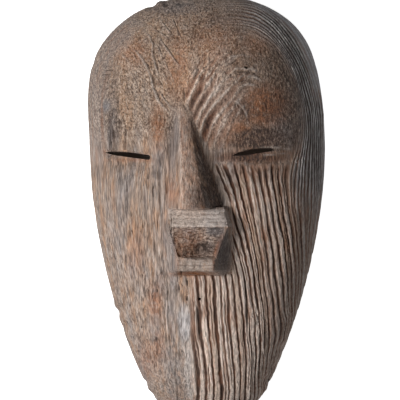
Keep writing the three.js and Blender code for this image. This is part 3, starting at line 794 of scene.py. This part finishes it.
def build_mask():
    gx, gy, gz = outer_grid()
    nrm = grid_normals(gx, gy, gz)
    lift, masks = weather(gx, gy, gz, nrm)
    px, py, pz = (q + lift * nrm[..., k] for k, q in enumerate((gx, gy, gz)))
    pz[:, 0] = pz[:, -1] = 0
    pz[:, 1:-1] = np.maximum(pz[:, 1:-1], 0.02)

    wide = np.linspace(TOP_Y, CHIN_Y, 4001)
    shift = np.array([-((middle(wide) - half_width(wide)).min() + (middle(wide) + half_width(wide)).max()) / 2,
                      -(TOP_Y + CHIN_Y) / 2, 0.0])
    out = oriented(grid_solid("mask_outside", px + shift[0], py + shift[1], pz))
    hx, hy, hz = hollow_solid()
    cut = oriented(grid_solid("mask_hollow", hx + shift[0], hy + shift[1], hz))
    cutters = [cut]
    for k, s in enumerate(SLITS):
        pts, quads, ends = slit_cutter(k, *s)
        cutters.append(oriented(mesh_from(f"slit_{k}", pts + shift, quads, ends)))
    pts, quads, ends = hole_cutters()
    cutters.append(oriented(mesh_from("holes", pts + shift, quads, ends)))

    for c in cutters:
        m = out.modifiers.new("cut", "BOOLEAN")
        m.operation, m.solver, m.object = "DIFFERENCE", "MANIFOLD", c
    deps = bpy.context.evaluated_depsgraph_get()
    whole = bpy.data.meshes.new_from_object(out.evaluated_get(deps), depsgraph=deps)
    tris = len(whole.loops) - 2 * len(whole.polygons)
    out.modifiers.clear()
    out.data = whole
    print("mask: triangles before thinning", tris)
    m = out.modifiers.new("thin", "DECIMATE")
    m.ratio = min(1.0, TRIANGLES / tris)
    m.use_collapse_triangulate = True
    deps = bpy.context.evaluated_depsgraph_get()
    thin = bpy.data.meshes.new_from_object(out.evaluated_get(deps), depsgraph=deps)
    print("mask: triangles", len(thin.loops) - 2 * len(thin.polygons))
    thin.name = "mask"
    for c in cutters + [out]:
        bpy.data.objects.remove(c)

    # masks for the colours, looked up on the fine grid
    n = len(thin.vertices)
    co = np.zeros(n * 3)
    thin.vertices.foreach_get("co", co)
    co = co.reshape(-1, 3)
    surface = np.stack([px, py, pz], -1).reshape(-1, 3) + shift
    tree = kdtree.KDTree(len(surface))
    for i, q in enumerate(surface.tolist()):
        tree.insert(q, i)
    tree.balance()
    near = np.zeros((n, 3), int)
    gap = np.zeros((n, 3))
    for i, q in enumerate(co.tolist()):
        for j, (_, k, d) in enumerate(tree.find_n(q, 3)):
            near[i, j], gap[i, j] = k, d
    w = 1 / (gap + 0.05)
    w /= w.sum(1, keepdims=True)
    inside = smooth(0.9, 1.8, gap[:, 0])

    def pick(field):
        field = np.asarray(field, float)
        return (field[near] * (w[..., None] if field.ndim == 2 else w)).sum(1)

    picked = {k: pick(f) for k, f in masks.items()}
    picked["inside"] = inside
    co_m = (co / 1000.0).astype(np.float32)
    thin.vertices.foreach_set("co", co_m.ravel())
    thin.update()
    ob = bpy.data.objects.new("carved_mask", thin)
    bpy.context.scene.collection.objects.link(ob)
    return ob, picked, co - shift, shift


def add_float(me, name, values):
    a = me.attributes.new(name, "FLOAT", "POINT")
    a.data.foreach_set("value", np.asarray(values, np.float32))


def add_vector(me, name, values):
    a = me.attributes.new(name, "FLOAT_VECTOR", "POINT")
    a.data.foreach_set("vector", np.asarray(values, np.float32).ravel())


mask, m, at, shift = build_mask()
u, v = m["u"], m["v"]
x, y, z = at.T

# ------------------------------------------------------------------ where the colour changes
orange = np.maximum.reduce([
    1.0 * spot(u, v, 266, 106, 24, 23, power=4), 0.8 * spot(u, v, 242, 128, 14, 12, power=3), 0.6 * spot(u, v, 236, 140, 14, 9), 0.5 * spot(u, v, 256, 138, 30, 12, power=4), 0.55 * spot(u, v, 256, 44, 16, 14), 0.45 * spot(u, v, 256, 171, 36, 9, power=4),
    0.7 * spot(u, v, 158, 128, 7, 22), 0.6 * spot(u, v, 172, 193, 6, 18), 0.75 * spot(u, v, 155, 303, 7, 18),
    0.5 * spot(u, v, 158, 348, 8, 22), 0.7 * spot(u, v, 179, 252, 5, 8), 0.95 * spot(u, v, 249, 310, 6, 28, power=3) * smooth(-0.5, 0.1, noise(x / 3, y / 9, z / 3, 65)), 0.7 * spot(u, v, 268, 296, 4, 34, turn=-6, power=3) * smooth(-0.4, 0.2, noise(x / 3, y / 14, z / 3, 66)),
    0.55 * spot(u, v, 178, 66, 12, 34), 0.5 * spot(u, v, 134, 52, 16, 14), 1.0 * spot(u, v, 194, 274, 24, 2.6, power=3),
    0.5 * spot(u, v, 272, 310, 12, 30), 0.6 * spot(u, v, 277, 328, 10, 34, turn=10, power=3) * smooth(-0.4, 0.2, noise(x / 3, y / 16, z / 3, 76)), 0.9 * spot(u, v, 262, 388, 9, 10), 0.6 * spot(u, v, 192, 120, 6, 16),
    0.4 * spot(u, v, 136, 250, 8, 24), 0.6 * spot(u, v, 288, 153, 20, 3), 0.4 * spot(u, v, 215, 40, 30, 24),
    0.8 * m["lower_lid"], 0.5 * m["mouth"] * spot(u, v, 186, 244, 16, 16, power=3), 1.0 * spot(u, v, 218, 246, 2.6, 13, turn=19, power=3) * m["on_lips"],
    0.8 * spot(u, v, 213.5, 264, 2.0, 9, power=3), 0.5 * spot(u, v, 177.5, 265, 2.0, 9, power=3), 0.6 * spot(u, v, 146, 360, 7, 18), 0.5 * spot(u, v, 176, 195, 6, 14),
    0.45 * m["on_nose"] * smooth(178, 182, u) * smooth(-1, -6, u - np.interp(v, (125, 165, 205), (190, 200, 208))),
    0.5 * spot(u, v, 132, 160, 30, 2.2, power=3), 0.45 * spot(u, v, 104, 152, 5, 3)])
cool = np.maximum.reduce([
    1.1 * spot(u, v, 106, 106, 6, 8, power=3), 0.9 * spot(u, v, 110.5, 132, 3, 18, power=4), 0.8 * spot(u, v, 284, 132, 14, 16), 0.4 * spot(u, v, 173, 150, 4.5, 26, power=3), 0.45 * spot(u, v, 158, 158, 8, 8),
    0.6 * spot(u, v, 168, 250, 3.5, 26), 0.6 * spot(u, v, 176, 380, 9, 26), 0.7 * spot(u, v, 165, 236, 4, 22),
    # next line: 1.0 at (216, 231) is painted shade under the right end of the upper lip
    1.0 * spot(u, v, 216, 231, 11, 5, power=4), 0.5 * spot(u, v, 140, 380, 10, 26), 0.6 * spot(u, v, 175, 6, 24, 9),
    # next line: 0.9 of the smooth rim is a painted grey sheen
    0.5 * spot(u, v, 120, 205, 6, 26), 0.45 * m["edge_l"], 0.9 * m["smooth_rim_and_sheen"], 0.6 * spot(u, v, 174, 140, 4, 30, turn=4, power=4), 0.45 * spot(u, v, 111, 120, 5, 34, power=3), 0.85 * m["fine_arcs"], 0.6 * m["bevel"] * smooth(228, 236, v), 0.4 * smooth(288, 302, u),
    # next line: 0.8 at (223, 252) is painted shade on the mouth block's right wall, 0.6 at (230, 170) painted shade
    # beside the nose
    0.8 * spot(u, v, 223, 252, 7, 22, power=4), 0.5 * spot(u, v, 172, 320, 4, 40), 0.6 * spot(u, v, 230, 170, 8, 12)])
bleach = np.maximum.reduce([
    0.40 * spot(u + 1.5 * noise(x / 4, y / 9, 0.3, 54), v, 184, 323, 7.2, 20, turn=-4, power=8), 0.5 * spot(u, v, 188, 365, 6, 36, turn=-4),
    0.95 * m["ledge"], 0.45 * m["low_lip"] * smooth(212.5, 210.5, u) * smooth(176.5, 179, u), 0.5 * spot(u, v, 181, 172, 1.6, 40, turn=-2, power=4),
    0.3 * m["on_nose"] * smooth(180, 183, u) * smooth(4, -4, u - np.interp(v, (125, 165, 205), (186, 194, 202))),
    0.70 * spot(u, v, 212, 104, 24, 32, turn=35, power=4),
    1.0 * smooth(252, 290, v) * smooth(226, 256, u) * smooth(0.05, 0.35, m["tone"]) * (1 - 0.55 * smooth(258, 270, u)), 0.5 * smooth(250, 290, v) * smooth(200, 215, u)])
ash_and_sheen = np.maximum.reduce([
    0.7 * spot(u + 1.5 * noise(x / 4, y / 9, 0.3, 54), v + 3 * noise(x / 2.5, y / 14, 0.3, 55), 184, 323, 7.0, 20, turn=-4, power=8),
    # next line: 0.85 of the smooth rim is a painted pale sheen; the other terms of this mask are ash-pale weathered
    # wood
    0.45 * spot(u, v, 188, 368, 4, 34, turn=-4), 0.3 * m["ledge"] * smooth(194, 206, u), 0.85 * m["smooth_rim_and_sheen"]])
streaked = smooth(-0.45, 0.1, noise(x / 1.2, y / 10, z / 1.2, 69))
dark = np.maximum.reduce([
    1.0 * spot(u, v, 115.5, 112, 1.6, 26, turn=-2, power=4) * streaked, 0.95 * spot(u, v, 110.5, 130, 2.6, 24, power=4) * streaked,
    0.7 * spot(u, v, 125.3, 137, 1.3, 14, power=4) * streaked, 0.35 * spot(u, v, 127, 204, 1.2, 30, turn=1, power=4) * streaked,
    # next line: 0.82 at (287, 92) darkens the right of the crown: darker patina, and partly painted shade of the side
    # turned from the key lamp
    0.95 * spot(u, v, 113, 124, 8, 30, power=3) * smooth(-0.35, 0.25, noise(x / 1.4, y / 8, z / 1.4, 56)), 0.82 * spot(u, v, 287, 92, 28, 66, turn=-12, power=4),
    # next line: the spots at (197, 250) and (205, 248) deep in the mouth pocket are dark rough wood and partly painted
    # shade of its deepest part
    0.5 * spot(u, v, 197, 250, 6, 5), 1.0 * spot(u, v, 205, 248, 9, 8, power=3), 0.15 * m["mouth"], 0.8 * m["snub"], 0.4 * m["crown"],
    # next line: 0.3 and 0.35 along the right outline are darker patina, and partly painted shade of the side turned
    # from the key lamp
    0.3 * spot(u, v, 318, 200, 6, 70), 0.35 * spot(u, v, 303, 270, 12, 66, turn=10), 1.3 * spot(u + 4 * noise(x / 6, y / 5, z / 6, 73), v + 5 * noise(x / 5, y / 5, z / 5, 74), 262, 139, 42, 15, turn=-4, power=4) * (0.76 + 0.24 * smooth(-0.3, 0.3, fbm(x / 2.0, y / 2.4, z / 2.0, 57, 2))),
    0.75 * spot(u, v, 266, 108, 28, 27, power=4) * (0.45 + 0.55 * smooth(-0.3, 0.3, fbm(x / 2.4, y / 2.8, z / 2.4, 62, 2))), 0.72 * spot(u, v, 252, 78, 24, 18, power=4) * (0.5 + 0.5 * smooth(-0.2, 0.3, fbm(x / 2.3, y / 2.3, z / 2.3, 58, 2))),
    0.55 * spot(u, v, 247, 58, 27, 20, power=3), 0.52 * spot(u, v, 238, 20, 30, 15, power=3),
    1.1 * spot(u, v, 240, 112, 15, 16, turn=30, power=4) * (0.55 + 0.55 * smooth(-0.2, 0.3, fbm(x / 1.9, y / 2.2, z / 1.9, 64, 2))),
    0.8 * spot(u, v, 292, 137, 13, 20, power=4), 0.55 * spot(u, v, 172, 138, 7, 34, power=4), 0.6 * spot(u, v, 255, 169, 38, 11, power=4) * (0.5 + 0.5 * smooth(-0.3, 0.3, fbm(x / 2.2, y / 4, z / 2.2, 67, 2))), 0.3 * spot(u, v, 110, 78, 10, 22, power=3),
    # next line: 0.7 at (223, 252) is painted shade on the mouth block's right wall, and the last term is painted shade
    # on the nose's right flank
    1.15 * m["lower_lid"] * (0.78 + 0.22 * smooth(-0.5, 0.3, fbm(x / 2.0, y / 2.2, z / 2.0, 59, 2))), 0.7 * spot(u, v, 223, 252, 7, 22, power=4), 0.85 * m["fine_arcs"], 0.8 * m["on_nose"] * smooth(1, 5, u - np.interp(v, (125, 165, 205), (188, 198, 206))),
    # next line: 0.25 towards the upper right is the same darker patina and partly painted shade of the right side
    0.25 * smooth(262, 285, u) * smooth(250, 220, v), 0.22 * spot(u, v, 128, 172, 34, 14, power=3),
    # next line, all painted shade: the shadow of the nose on the cheek beside it, the mouth block's right wall, and
    # under the right end of the upper lip
    0.8 * spot(u, v, 213, 188, 7, 32, turn=-22, power=3), 0.5 * spot(u, v, 226, 250, 6, 26, power=6) * m["on_lips"], 0.6 * spot(u, v, 216, 231, 11, 5, power=4), 0.4 * spot(u, v, 222, 250, 9, 24, power=6) * m["on_lips"]])
# less dark on the smooth rim: part of its painted sheen
dark = dark * (1 - 0.8 * m["smooth_rim_and_sheen"])
# lift: the 0.17 lighter ridge tops low on the right cheek are painted light where the surface turns from the lamps, the
# smooth rim's share is its painted sheen, and the -0.10 on the mouth block's right wall is painted shade
lift = 1 + (1 - clamp01(3 * m["groove"])) * (0.17 * smooth(236, 250, u) * smooth(270, 258, u) * smooth(290, 320, v) + 0.04 * smooth(196, 212, u) * smooth(268, 285, v) * smooth(250, 236, u)) \
    + 0.32 * m["smooth_rim_and_sheen"] + 0.21 * m["s_brow"] * smooth(248, 228, u) + 0.11 * spot(u, v, 205, 62, 30, 26, power=4) + 0.06 * spot(u, v, 228, 350, 20, 44, power=4) + 0.10 * m["ledge"] + 0.08 * m["mouth"] + 0.07 * spot(u, v, 185, 60, 26, 30, power=3) + 0.05 * smooth(110, 98, u) - 0.04 * spot(u, v, 135, 190, 30, 40, power=3) + 0.02 * spot(u, v, 155, 320, 26, 60, power=4) \
    - 0.10 * spot(u, v, 222, 250, 9, 24, power=6) * m["on_lips"]
# lighter and darker places of the wood, and two of painted light and shade: 0.40 right of the mouth is painted light
# over the shadow the lips cast on the cheek, -0.36 at (229, 188) is the painted shadow of the nose on the cheek
for change, patch in ((0.40, spot(u, v, 241, 230, 14, 30, power=3) * (1 - m["on_lips"])), (0.17, spot(u, v, 209, 346, 9, 58, power=4)),
                      (0.42, spot(u, v, 294, 37, 30, 9, turn=54, power=4)), (0.14, spot(u, v, 170, 12, 24, 14, power=3)),
                      (0.22, spot(u, v, 190, 88, 10, 14, power=3)), (0.12, spot(u, v, 248, 392, 10, 12, power=3)), (0.08, spot(u, v, 148, 294, 12, 14, power=3)),
                      (-0.36, spot(u, v, 229, 188, 11, 15, power=3)), (-0.09, spot(u, v, 116, 165, 17, 34, power=4)),
                      (-0.28, spot(u, v, 284, 166, 16, 26, power=4)), (-0.28, spot(u, v, 192, 131, 8, 13, power=3)),
                      (-0.18, spot(u, v, 229, 90, 13, 13, power=3)), (-0.08, spot(u, v, 228, 150, 12, 24, power=4)),
                      (-0.10, spot(u, v, 269, 320, 9, 44, power=4))):
    lift = lift + change * patch
lift = lift - 0.06 * spot(u, v, 110, 256, 9, 22, power=3)
# dark flecks deep in the mouth pocket join the crack mask: dark rough wood and partly painted shade of the pocket's
# deepest part
m["crack"] = np.maximum(m["crack"], m["mouth"] * smooth(-0.45, 0.15, fbm(x / 2.2, y / 2.2, z / 2.2, 61, 2)) * np.maximum(
    0.7 * spot(u, v, 198, 250, 6, 5.0), 1.0 * spot(u, v, 205, 247, 8.5, 7, power=3)))
for name in ("groove", "crack", "end_grain", "ringed", "inside", "pore", "thread", "level", "slant_l", "slant_r", "tone",
             "fine_ring", "crest_line", "mouth", "across", "plane", "close"):
    add_float(mask.data, name, m[name])
add_float(mask.data, "brow", clamp01(m["s_brow"] + 0.7 * spot(u, v, 262, 128, 34, 26, power=4)
                                      + 0.75 * m["on_nose"] * smooth(183, 197, u + 0.12 * (v - 190))))
hairline = (1 - m["ringed"]) * (1 - 0.85 * m["end_grain"]) * (1 - m["across"]) * (1 - 0.5 * m["on_nose"])
add_float(mask.data, "hairline", clamp01(hairline * (1 - m["inside"])))
add_float(mask.data, "lift", lift)
for name, values in (("orange", orange), ("cool", cool), ("bleach", bleach), ("dark", dark), ("ash_and_sheen", ash_and_sheen)):
    add_float(mask.data, name, values)
add_vector(mask.data, "rings", m["rings"])


# ------------------------------------------------------------------ material
class Graph:
    """Short names for building a node tree."""

    def __init__(self, name):
        self.material = bpy.data.materials.new(name)
        self.material.use_nodes = True
        self.tree = self.material.node_tree
        self.tree.nodes.clear()

    def put(self, socket, value):
        if isinstance(value, bpy.types.NodeSocket):
            self.tree.links.new(value, socket)
        else:
            socket.default_value = value

    def node(self, kind, out=0, settings=None, **inputs):
        n = self.tree.nodes.new(kind)
        for k, s in (settings or {}).items():
            setattr(n, k, s)
        for k, s in inputs.items():
            self.put(n.inputs[int(k[1:])] if k[0] == "_" and k[1:].isdigit() else n.inputs[k.replace("_", " ")], s)
        return n.outputs[out]

    def attr(self, name, out="Fac"):
        n = self.tree.nodes.new("ShaderNodeAttribute")
        n.attribute_name = name
        return n.outputs[out]

    def math(self, op, a, b=0.0, clamp=False):
        return self.node("ShaderNodeMath", settings={"operation": op, "use_clamp": clamp}, _0=a, _1=b)

    def mul(self, a, b):
        return self.math("MULTIPLY", a, b)

    def add(self, a, b):
        return self.math("ADD", a, b)

    def ramp(self, fac, lo, hi, a=0.0, b=1.0):
        return self.node("ShaderNodeMapRange", settings={"interpolation_type": "SMOOTHSTEP"}, _0=fac, _1=lo, _2=hi, _3=a, _4=b)

    def scaled(self, vector, s):
        return self.node("ShaderNodeVectorMath", settings={"operation": "MULTIPLY"}, _0=vector, _1=s)

    def noise(self, vector, scale, detail=2.0, rough=0.55, out=0):
        return self.node("ShaderNodeTexNoise", out=out, Vector=vector, Scale=scale, Detail=detail, Roughness=rough)

    def mix(self, fac, a, b, blend="MIX"):
        n = self.tree.nodes.new("ShaderNodeMix")
        n.data_type, n.blend_type = "RGBA", blend
        self.put(n.inputs[0], fac)
        self.put(n.inputs[6], a)
        self.put(n.inputs[7], b)
        return n.outputs[2]


def rgb(r, g, b):
    return (r, g, b, 1.0)


def wood():
    g = Graph("weathered_wood")
    where = g.node("ShaderNodeTexCoord", out=3)
    ring = g.attr("rings", "Vector")
    rings = g.scaled(ring, (4.7, 0.12, 0.0))
    streak = g.noise(g.scaled(where, (1000, 70, 1000)), 0.45, 3.0, 0.62)     # fibres run up and down
    hair = g.noise(g.scaled(where, (1000, 72, 1000)), 1.0, 2.0, 0.65)
    ring_hair = g.noise(rings, 1.7, 3.0, 0.65)
    broad = g.noise(g.scaled(where, (1000, 500, 1000)), 0.03, 3.0, 0.55)
    warm = g.noise(g.scaled(where, (1000, 170, 1000)), 0.15, 4.0, 0.64)
    blotch = g.noise(where, 75.0, 3.0, 0.6)
    grit = g.mix(g.math("MAXIMUM", g.attr("end_grain"), g.attr("across")), g.noise(g.scaled(where, (1000, 90, 1000)), 0.95, 2.5, 0.7),
                 g.noise(g.scaled(where, (1000, 640, 1000)), 1.05, 3.0, 0.75))
    # close thin ridges, two to a ring, that come and go
    comb = g.math("ABSOLUTE", g.math("SINE", g.mul(g.attr("close"), math.pi)))
    comb = g.mul(comb, g.ramp(g.noise(g.scaled(where, (1000, 500, 1000)), 0.10, 3.0), 0.36, 0.50, 0.80, 1.0))

    def turned(angle):
        """The pattern of the end grain, drawn out along a line at this angle to the up and down."""
        spun = g.node("ShaderNodeVectorRotate", settings={"rotation_type": "Z_AXIS"}, Vector=where, Angle=math.radians(angle))
        return g.noise(g.scaled(spun, (1000, 480, 1000)), 0.80, 3.0, 0.68)

    speck = g.mix(g.attr("slant_r"), g.mix(g.attr("slant_l"), turned(0), turned(-34)), turned(34))

    ringed = g.attr("ringed")
    tone = g.attr("tone")
    fine = g.mix(ringed, g.mix(0.65, streak, hair), ring_hair)
    sideways = g.noise(g.scaled(where, (300, 1000, 1000)), 0.85, 3.0, 0.7)    # the mouth is cut across the grain
    fine = g.mix(g.attr("across"), fine, sideways)
    hair = g.mix(g.attr("across"), hair, sideways)
    col = g.mix(g.ramp(broad, 0.35, 0.65), rgb(0.345, 0.255, 0.200), rgb(0.40, 0.308, 0.255))
    col = g.mix(g.ramp(warm, 0.50, 0.64, 0.0, 0.75), col, rgb(0.40, 0.232, 0.140))
    col = g.mix(g.ramp(warm, 0.49, 0.36, 0.0, 0.55), col, rgb(0.275, 0.250, 0.245))
    col = g.mix(g.ramp(blotch, 0.50, 0.72, 0.0, 0.5), col, rgb(0.32, 0.195, 0.13))
    col = g.mix(g.mul(g.ramp(fine, 0.49, 0.36), g.ramp(g.attr("plane"), 0.0, 1.0, 0.65, 0.3)), col, rgb(0.14, 0.092, 0.072))
    col = g.mix(g.mul(g.ramp(fine, 0.52, 0.66), 0.55), col, rgb(0.52, 0.45, 0.40))
    # hair cracks that run up and down, thin and broken
    line = g.math("ABSOLUTE", g.math("SUBTRACT", g.noise(g.scaled(where, (1000, 42, 1000)), 0.42, 1.5, 0.5), 0.5))
    gate = g.ramp(g.noise(g.scaled(where, (1000, 210, 1000)), 0.16, 3.0, 0.6), 0.47, 0.56)
    hairline = g.mul(g.mul(g.ramp(line, 0.022, 0.004), gate), g.attr("hairline"))
    col = g.mix(g.mul(hairline, 0.75), col, rgb(0.105, 0.068, 0.052))
    # end grain: warm brown with dark pores
    endg = g.attr("end_grain")
    col = g.mix(g.mul(endg, 0.40), col, rgb(0.33, 0.215, 0.135))
    col = g.mix(g.mul(g.ramp(speck, 0.475, 0.40), g.mul(endg, 0.85)), col, rgb(0.085, 0.053, 0.040))
    col = g.mix(g.mul(g.ramp(speck, 0.525, 0.61), g.mul(endg, 0.75)), col, rgb(0.56, 0.445, 0.36))
    brow = g.attr("brow")
    col = g.mix(g.mul(g.ramp(speck, 0.485, 0.42), g.mul(brow, 0.9)), col, rgb(0.055, 0.037, 0.030))
    col = g.mix(g.mul(g.attr("pore"), 0.5), col, rgb(0.10, 0.066, 0.052))
    # ridges: pale tops that differ from ring to ring, dark brown grooves
    top = g.mix(g.ramp(tone, 0.15, 0.7), rgb(0.50, 0.350, 0.258), rgb(0.71, 0.580, 0.498))
    top = g.mix(g.mul(g.ramp(ring_hair, 0.48, 0.36), 0.5), top, rgb(0.22, 0.145, 0.11))
    rust = g.noise(g.scaled(ring, (1.25, 0.03, 0.0)), 1.0, 3.0, 0.6)
    col = g.mix(g.mul(ringed, 0.75), col, top)
    col = g.mix(g.mul(g.ramp(rust, 0.50, 0.64), g.mul(ringed, 0.78)), col, rgb(0.34, 0.165, 0.095))
    col = g.mix(g.mul(g.ramp(fine, 0.50, 0.38), g.mul(g.attr("mouth"), 0.8)), col, rgb(0.065, 0.040, 0.031))
    col = g.mix(g.mul(g.ramp(fine, 0.52, 0.64), g.mul(g.attr("mouth"), 0.7)), col, rgb(0.46, 0.345, 0.28))
    stain = g.mul(g.attr("orange"), g.ramp(g.noise(where, 190.0, 3.0, 0.7), 0.36, 0.55, 0.45, 1.0))
    col = g.mix(g.mul(stain, 0.92), col, rgb(0.33, 0.125, 0.050))
    # cool carries bluish-grey wood and also painted shade and sheen set above: under the upper lip, on the mouth
    # block's right wall, beside the nose, on the smooth rim
    col = g.mix(g.mul(g.attr("cool"), 0.65), col, rgb(0.20, 0.20, 0.212))
    pale = g.mul(g.attr("bleach"), g.ramp(hair, 0.34, 0.55, 0.35, 1.0))
    col = g.mix(g.mul(pale, 0.85), col, rgb(0.60, 0.50, 0.435))
    # ash-pale weathered wood, and the painted pale sheen on the smooth rim
    pale = g.mul(g.attr("ash_and_sheen"), g.ramp(hair, 0.32, 0.52, 0.4, 1.0))
    col = g.mix(g.mul(pale, 0.75), col, rgb(0.50, 0.50, 0.52))
    grain = g.mix(g.math("MAXIMUM", endg, 0.25), fine, speck)
    # dark carries stains and patina and also painted shade set above: the nose's right flank and its shadow beside it,
    # the mouth block's right wall, under the upper lip, deep in the mouth
    col = g.mix(g.mul(g.attr("dark"), g.ramp(grain, 0.43, 0.60, 0.99, 0.54)), col, rgb(0.070, 0.045, 0.036))
    close = g.attr("fine_ring")
    strong = g.ramp(g.noise(g.scaled(ring, (1.9, 0.014, 0.02)), 1.0, 1.5, 0.5), 0.42, 0.56, 0.30, 1.0)       # some lines stand out
    col = g.mix(g.mul(g.ramp(comb, 0.68, 0.36), g.mul(close, 0.92)), col, rgb(0.023, 0.018, 0.017))
    col = g.mix(g.mul(g.ramp(comb, 0.70, 0.92), g.mul(close, strong)), col, g.mix(g.attr("cool"), rgb(0.64, 0.53, 0.46), rgb(0.66, 0.635, 0.62)))
    col = g.mix(g.mul(g.attr("crest_line"), 0.35), col, rgb(0.50, 0.47, 0.46))
    col = g.mix(g.mul(g.attr("thread"), 0.7), col, rgb(0.52, 0.45, 0.40))
    col = g.mix(g.mul(g.attr("level"), 0.6), col, rgb(0.16, 0.12, 0.10))
    deep = g.mix(g.ramp(blotch, 0.42, 0.62), rgb(0.055, 0.029, 0.021), rgb(0.125, 0.053, 0.030))
    col = g.mix(g.ramp(g.attr("groove"), 0.05, 0.28, 0.0, 0.65), col, rgb(0.235, 0.125, 0.080))
    col = g.mix(g.ramp(g.attr("groove"), 0.20, 0.65, 0.0, 0.92), col, deep)
    col = g.mix(g.ramp(g.attr("crack"), 0.15, 0.8, 0.0, 0.88), col, rgb(0.05, 0.034, 0.027))
    calm = g.math("MAXIMUM", g.mul(ringed, g.math("SUBTRACT", 1.0, close)), g.mul(g.attr("plane"), 0.8))
    col = g.mix(1.0, col, g.mix(calm, g.ramp(grit, 0.33, 0.67, 0.57, 1.45), g.ramp(grit, 0.33, 0.67, 0.80, 1.24)), "MULTIPLY")
    # lift carries tones of the wood and also painted light and shade set above
    col = g.mix(1.0, col, g.attr("lift"), "MULTIPLY")
    col = g.mix(g.attr("inside"), col, g.mix(g.ramp(streak, 0.3, 0.7), rgb(0.15, 0.10, 0.072), rgb(0.25, 0.175, 0.13)))

    height = g.add(g.add(g.math("SUBTRACT", g.mul(fine, 0.6), g.mul(hairline, 0.35)), g.mul(g.ramp(comb, 0.0, 0.8), g.mul(close, 0.8))), g.add(g.mul(speck, g.add(g.mul(endg, 0.9), 0.1)), g.mul(grit, 0.7)))
    bump = g.node("ShaderNodeBump", Strength=1.0, Distance=0.0011, Height=height)
    b = g.tree.nodes.new("ShaderNodeBsdfPrincipled")
    g.put(b.inputs["Base Color"], col)
    g.put(b.inputs["Roughness"], g.ramp(fine, 0.3, 0.7, 0.92, 0.78))
    b.inputs["Specular IOR Level"].default_value = 0.28
    g.put(b.inputs["Normal"], bump)
    o = g.tree.nodes.new("ShaderNodeOutputMaterial")
    g.tree.links.new(b.outputs[0], o.inputs[0])
    return g.material


mask.data.materials.clear()
mask.data.materials.append(wood())
mask.data.shade_smooth()
mask.data.set_sharp_from_angle(angle=math.radians(62))
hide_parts("mask")
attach(mask, "root")

# ------------------------------------------------------------------ floor, light, camera
def floor_material():
    g = Graph("pale_floor")
    b = g.tree.nodes.new("ShaderNodeBsdfPrincipled")
    b.inputs["Base Color"].default_value = rgb(0.86, 0.86, 0.855)
    b.inputs["Roughness"].default_value = 0.9
    b.inputs["Specular IOR Level"].default_value = 0.1
    b.inputs["Emission Color"].default_value = rgb(1, 1, 1)
    place = g.node("ShaderNodeVectorMath", settings={"operation": "SUBTRACT"}, _0=g.node("ShaderNodeTexCoord", out=3), _1=(0.0, 0.022, 0.0))
    place = g.scaled(place, (1 / 0.083, 1 / 0.128, 0.0))
    g.put(b.inputs["Emission Strength"], g.ramp(g.node("ShaderNodeVectorMath", out=1, settings={"operation": "LENGTH"}, _0=place),
                                                0.97, 1.0, 0.0, 0.95))
    clear = g.tree.nodes.new("ShaderNodeBsdfTransparent")
    mix = g.tree.nodes.new("ShaderNodeMixShader")
    g.tree.links.new(g.node("ShaderNodeNewGeometry", out=6), mix.inputs[0])
    g.tree.links.new(b.outputs[0], mix.inputs[1])
    g.tree.links.new(clear.outputs[0], mix.inputs[2])
    o = g.tree.nodes.new("ShaderNodeOutputMaterial")
    g.tree.links.new(mix.outputs[0], o.inputs[0])
    return g.material


reach = 3.0
floor_mesh = bpy.data.meshes.new("floor")
floor_mesh.from_pydata([(-reach, -reach, 0), (reach, -reach, 0), (reach, reach, 0), (-reach, reach, 0)], [], [(0, 1, 2, 3)])
floor = bpy.data.objects.new("floor", floor_mesh)
floor.location.z = -0.0004
bpy.context.scene.collection.objects.link(floor)
floor_mesh.materials.append(floor_material())
floor.visible_diffuse = False


def soft_light(name, direction, far, size, power, colour=(1, 1, 1)):
    data = bpy.data.lights.new(name, "AREA")
    data.shape, data.size, data.energy, data.color = "DISK", size, power, colour
    ob = bpy.data.objects.new(name, data)
    d = Vector(direction).normalized()
    ob.location = d * far
    ob.rotation_euler = d.to_track_quat("Z", "Y").to_euler()
    bpy.context.scene.collection.objects.link(ob)
    return ob


soft_light("key", (-0.48, 0.0, 0.87), 1.5, 0.6, 18.5)
soft_light("side", (-0.95, 0.05, 0.38), 1.5, 0.5, 5)
soft_light("fill", (0.5, -0.9, 0.55), 1.8, 1.4, 4.5)

world = bpy.data.worlds.new("studio")
world.use_nodes = True
world.node_tree.nodes["Background"].inputs[0].default_value = rgb(0.95, 0.97, 1.0)
world.node_tree.nodes["Background"].inputs[1].default_value = 0.11
scene = bpy.context.scene
scene.world = world
scene.view_settings.view_transform = "Standard"
scene.view_settings.look = "None"

data = bpy.data.cameras.new("camera")
data.lens, data.sensor_width = 180.0, 36.0
data.clip_start, data.clip_end = 0.05, 20
cam = bpy.data.objects.new("camera", data)
right_of = Vector((math.cos(PSI), 0, -math.sin(PSI)))
out_of = Vector((math.sin(PSI), 0, math.cos(PSI)))
target = Vector((shift[0], shift[1], LEVEL)) - right_of * (MID_U - 200) * PER_PX + Vector((0, (MID_V - 200) * PER_PX, 0))
cam.location = (target + out_of * FAR) / 1000
cam.rotation_euler = (0, PSI, 0)
scene.collection.objects.link(cam)
scene.camera = cam
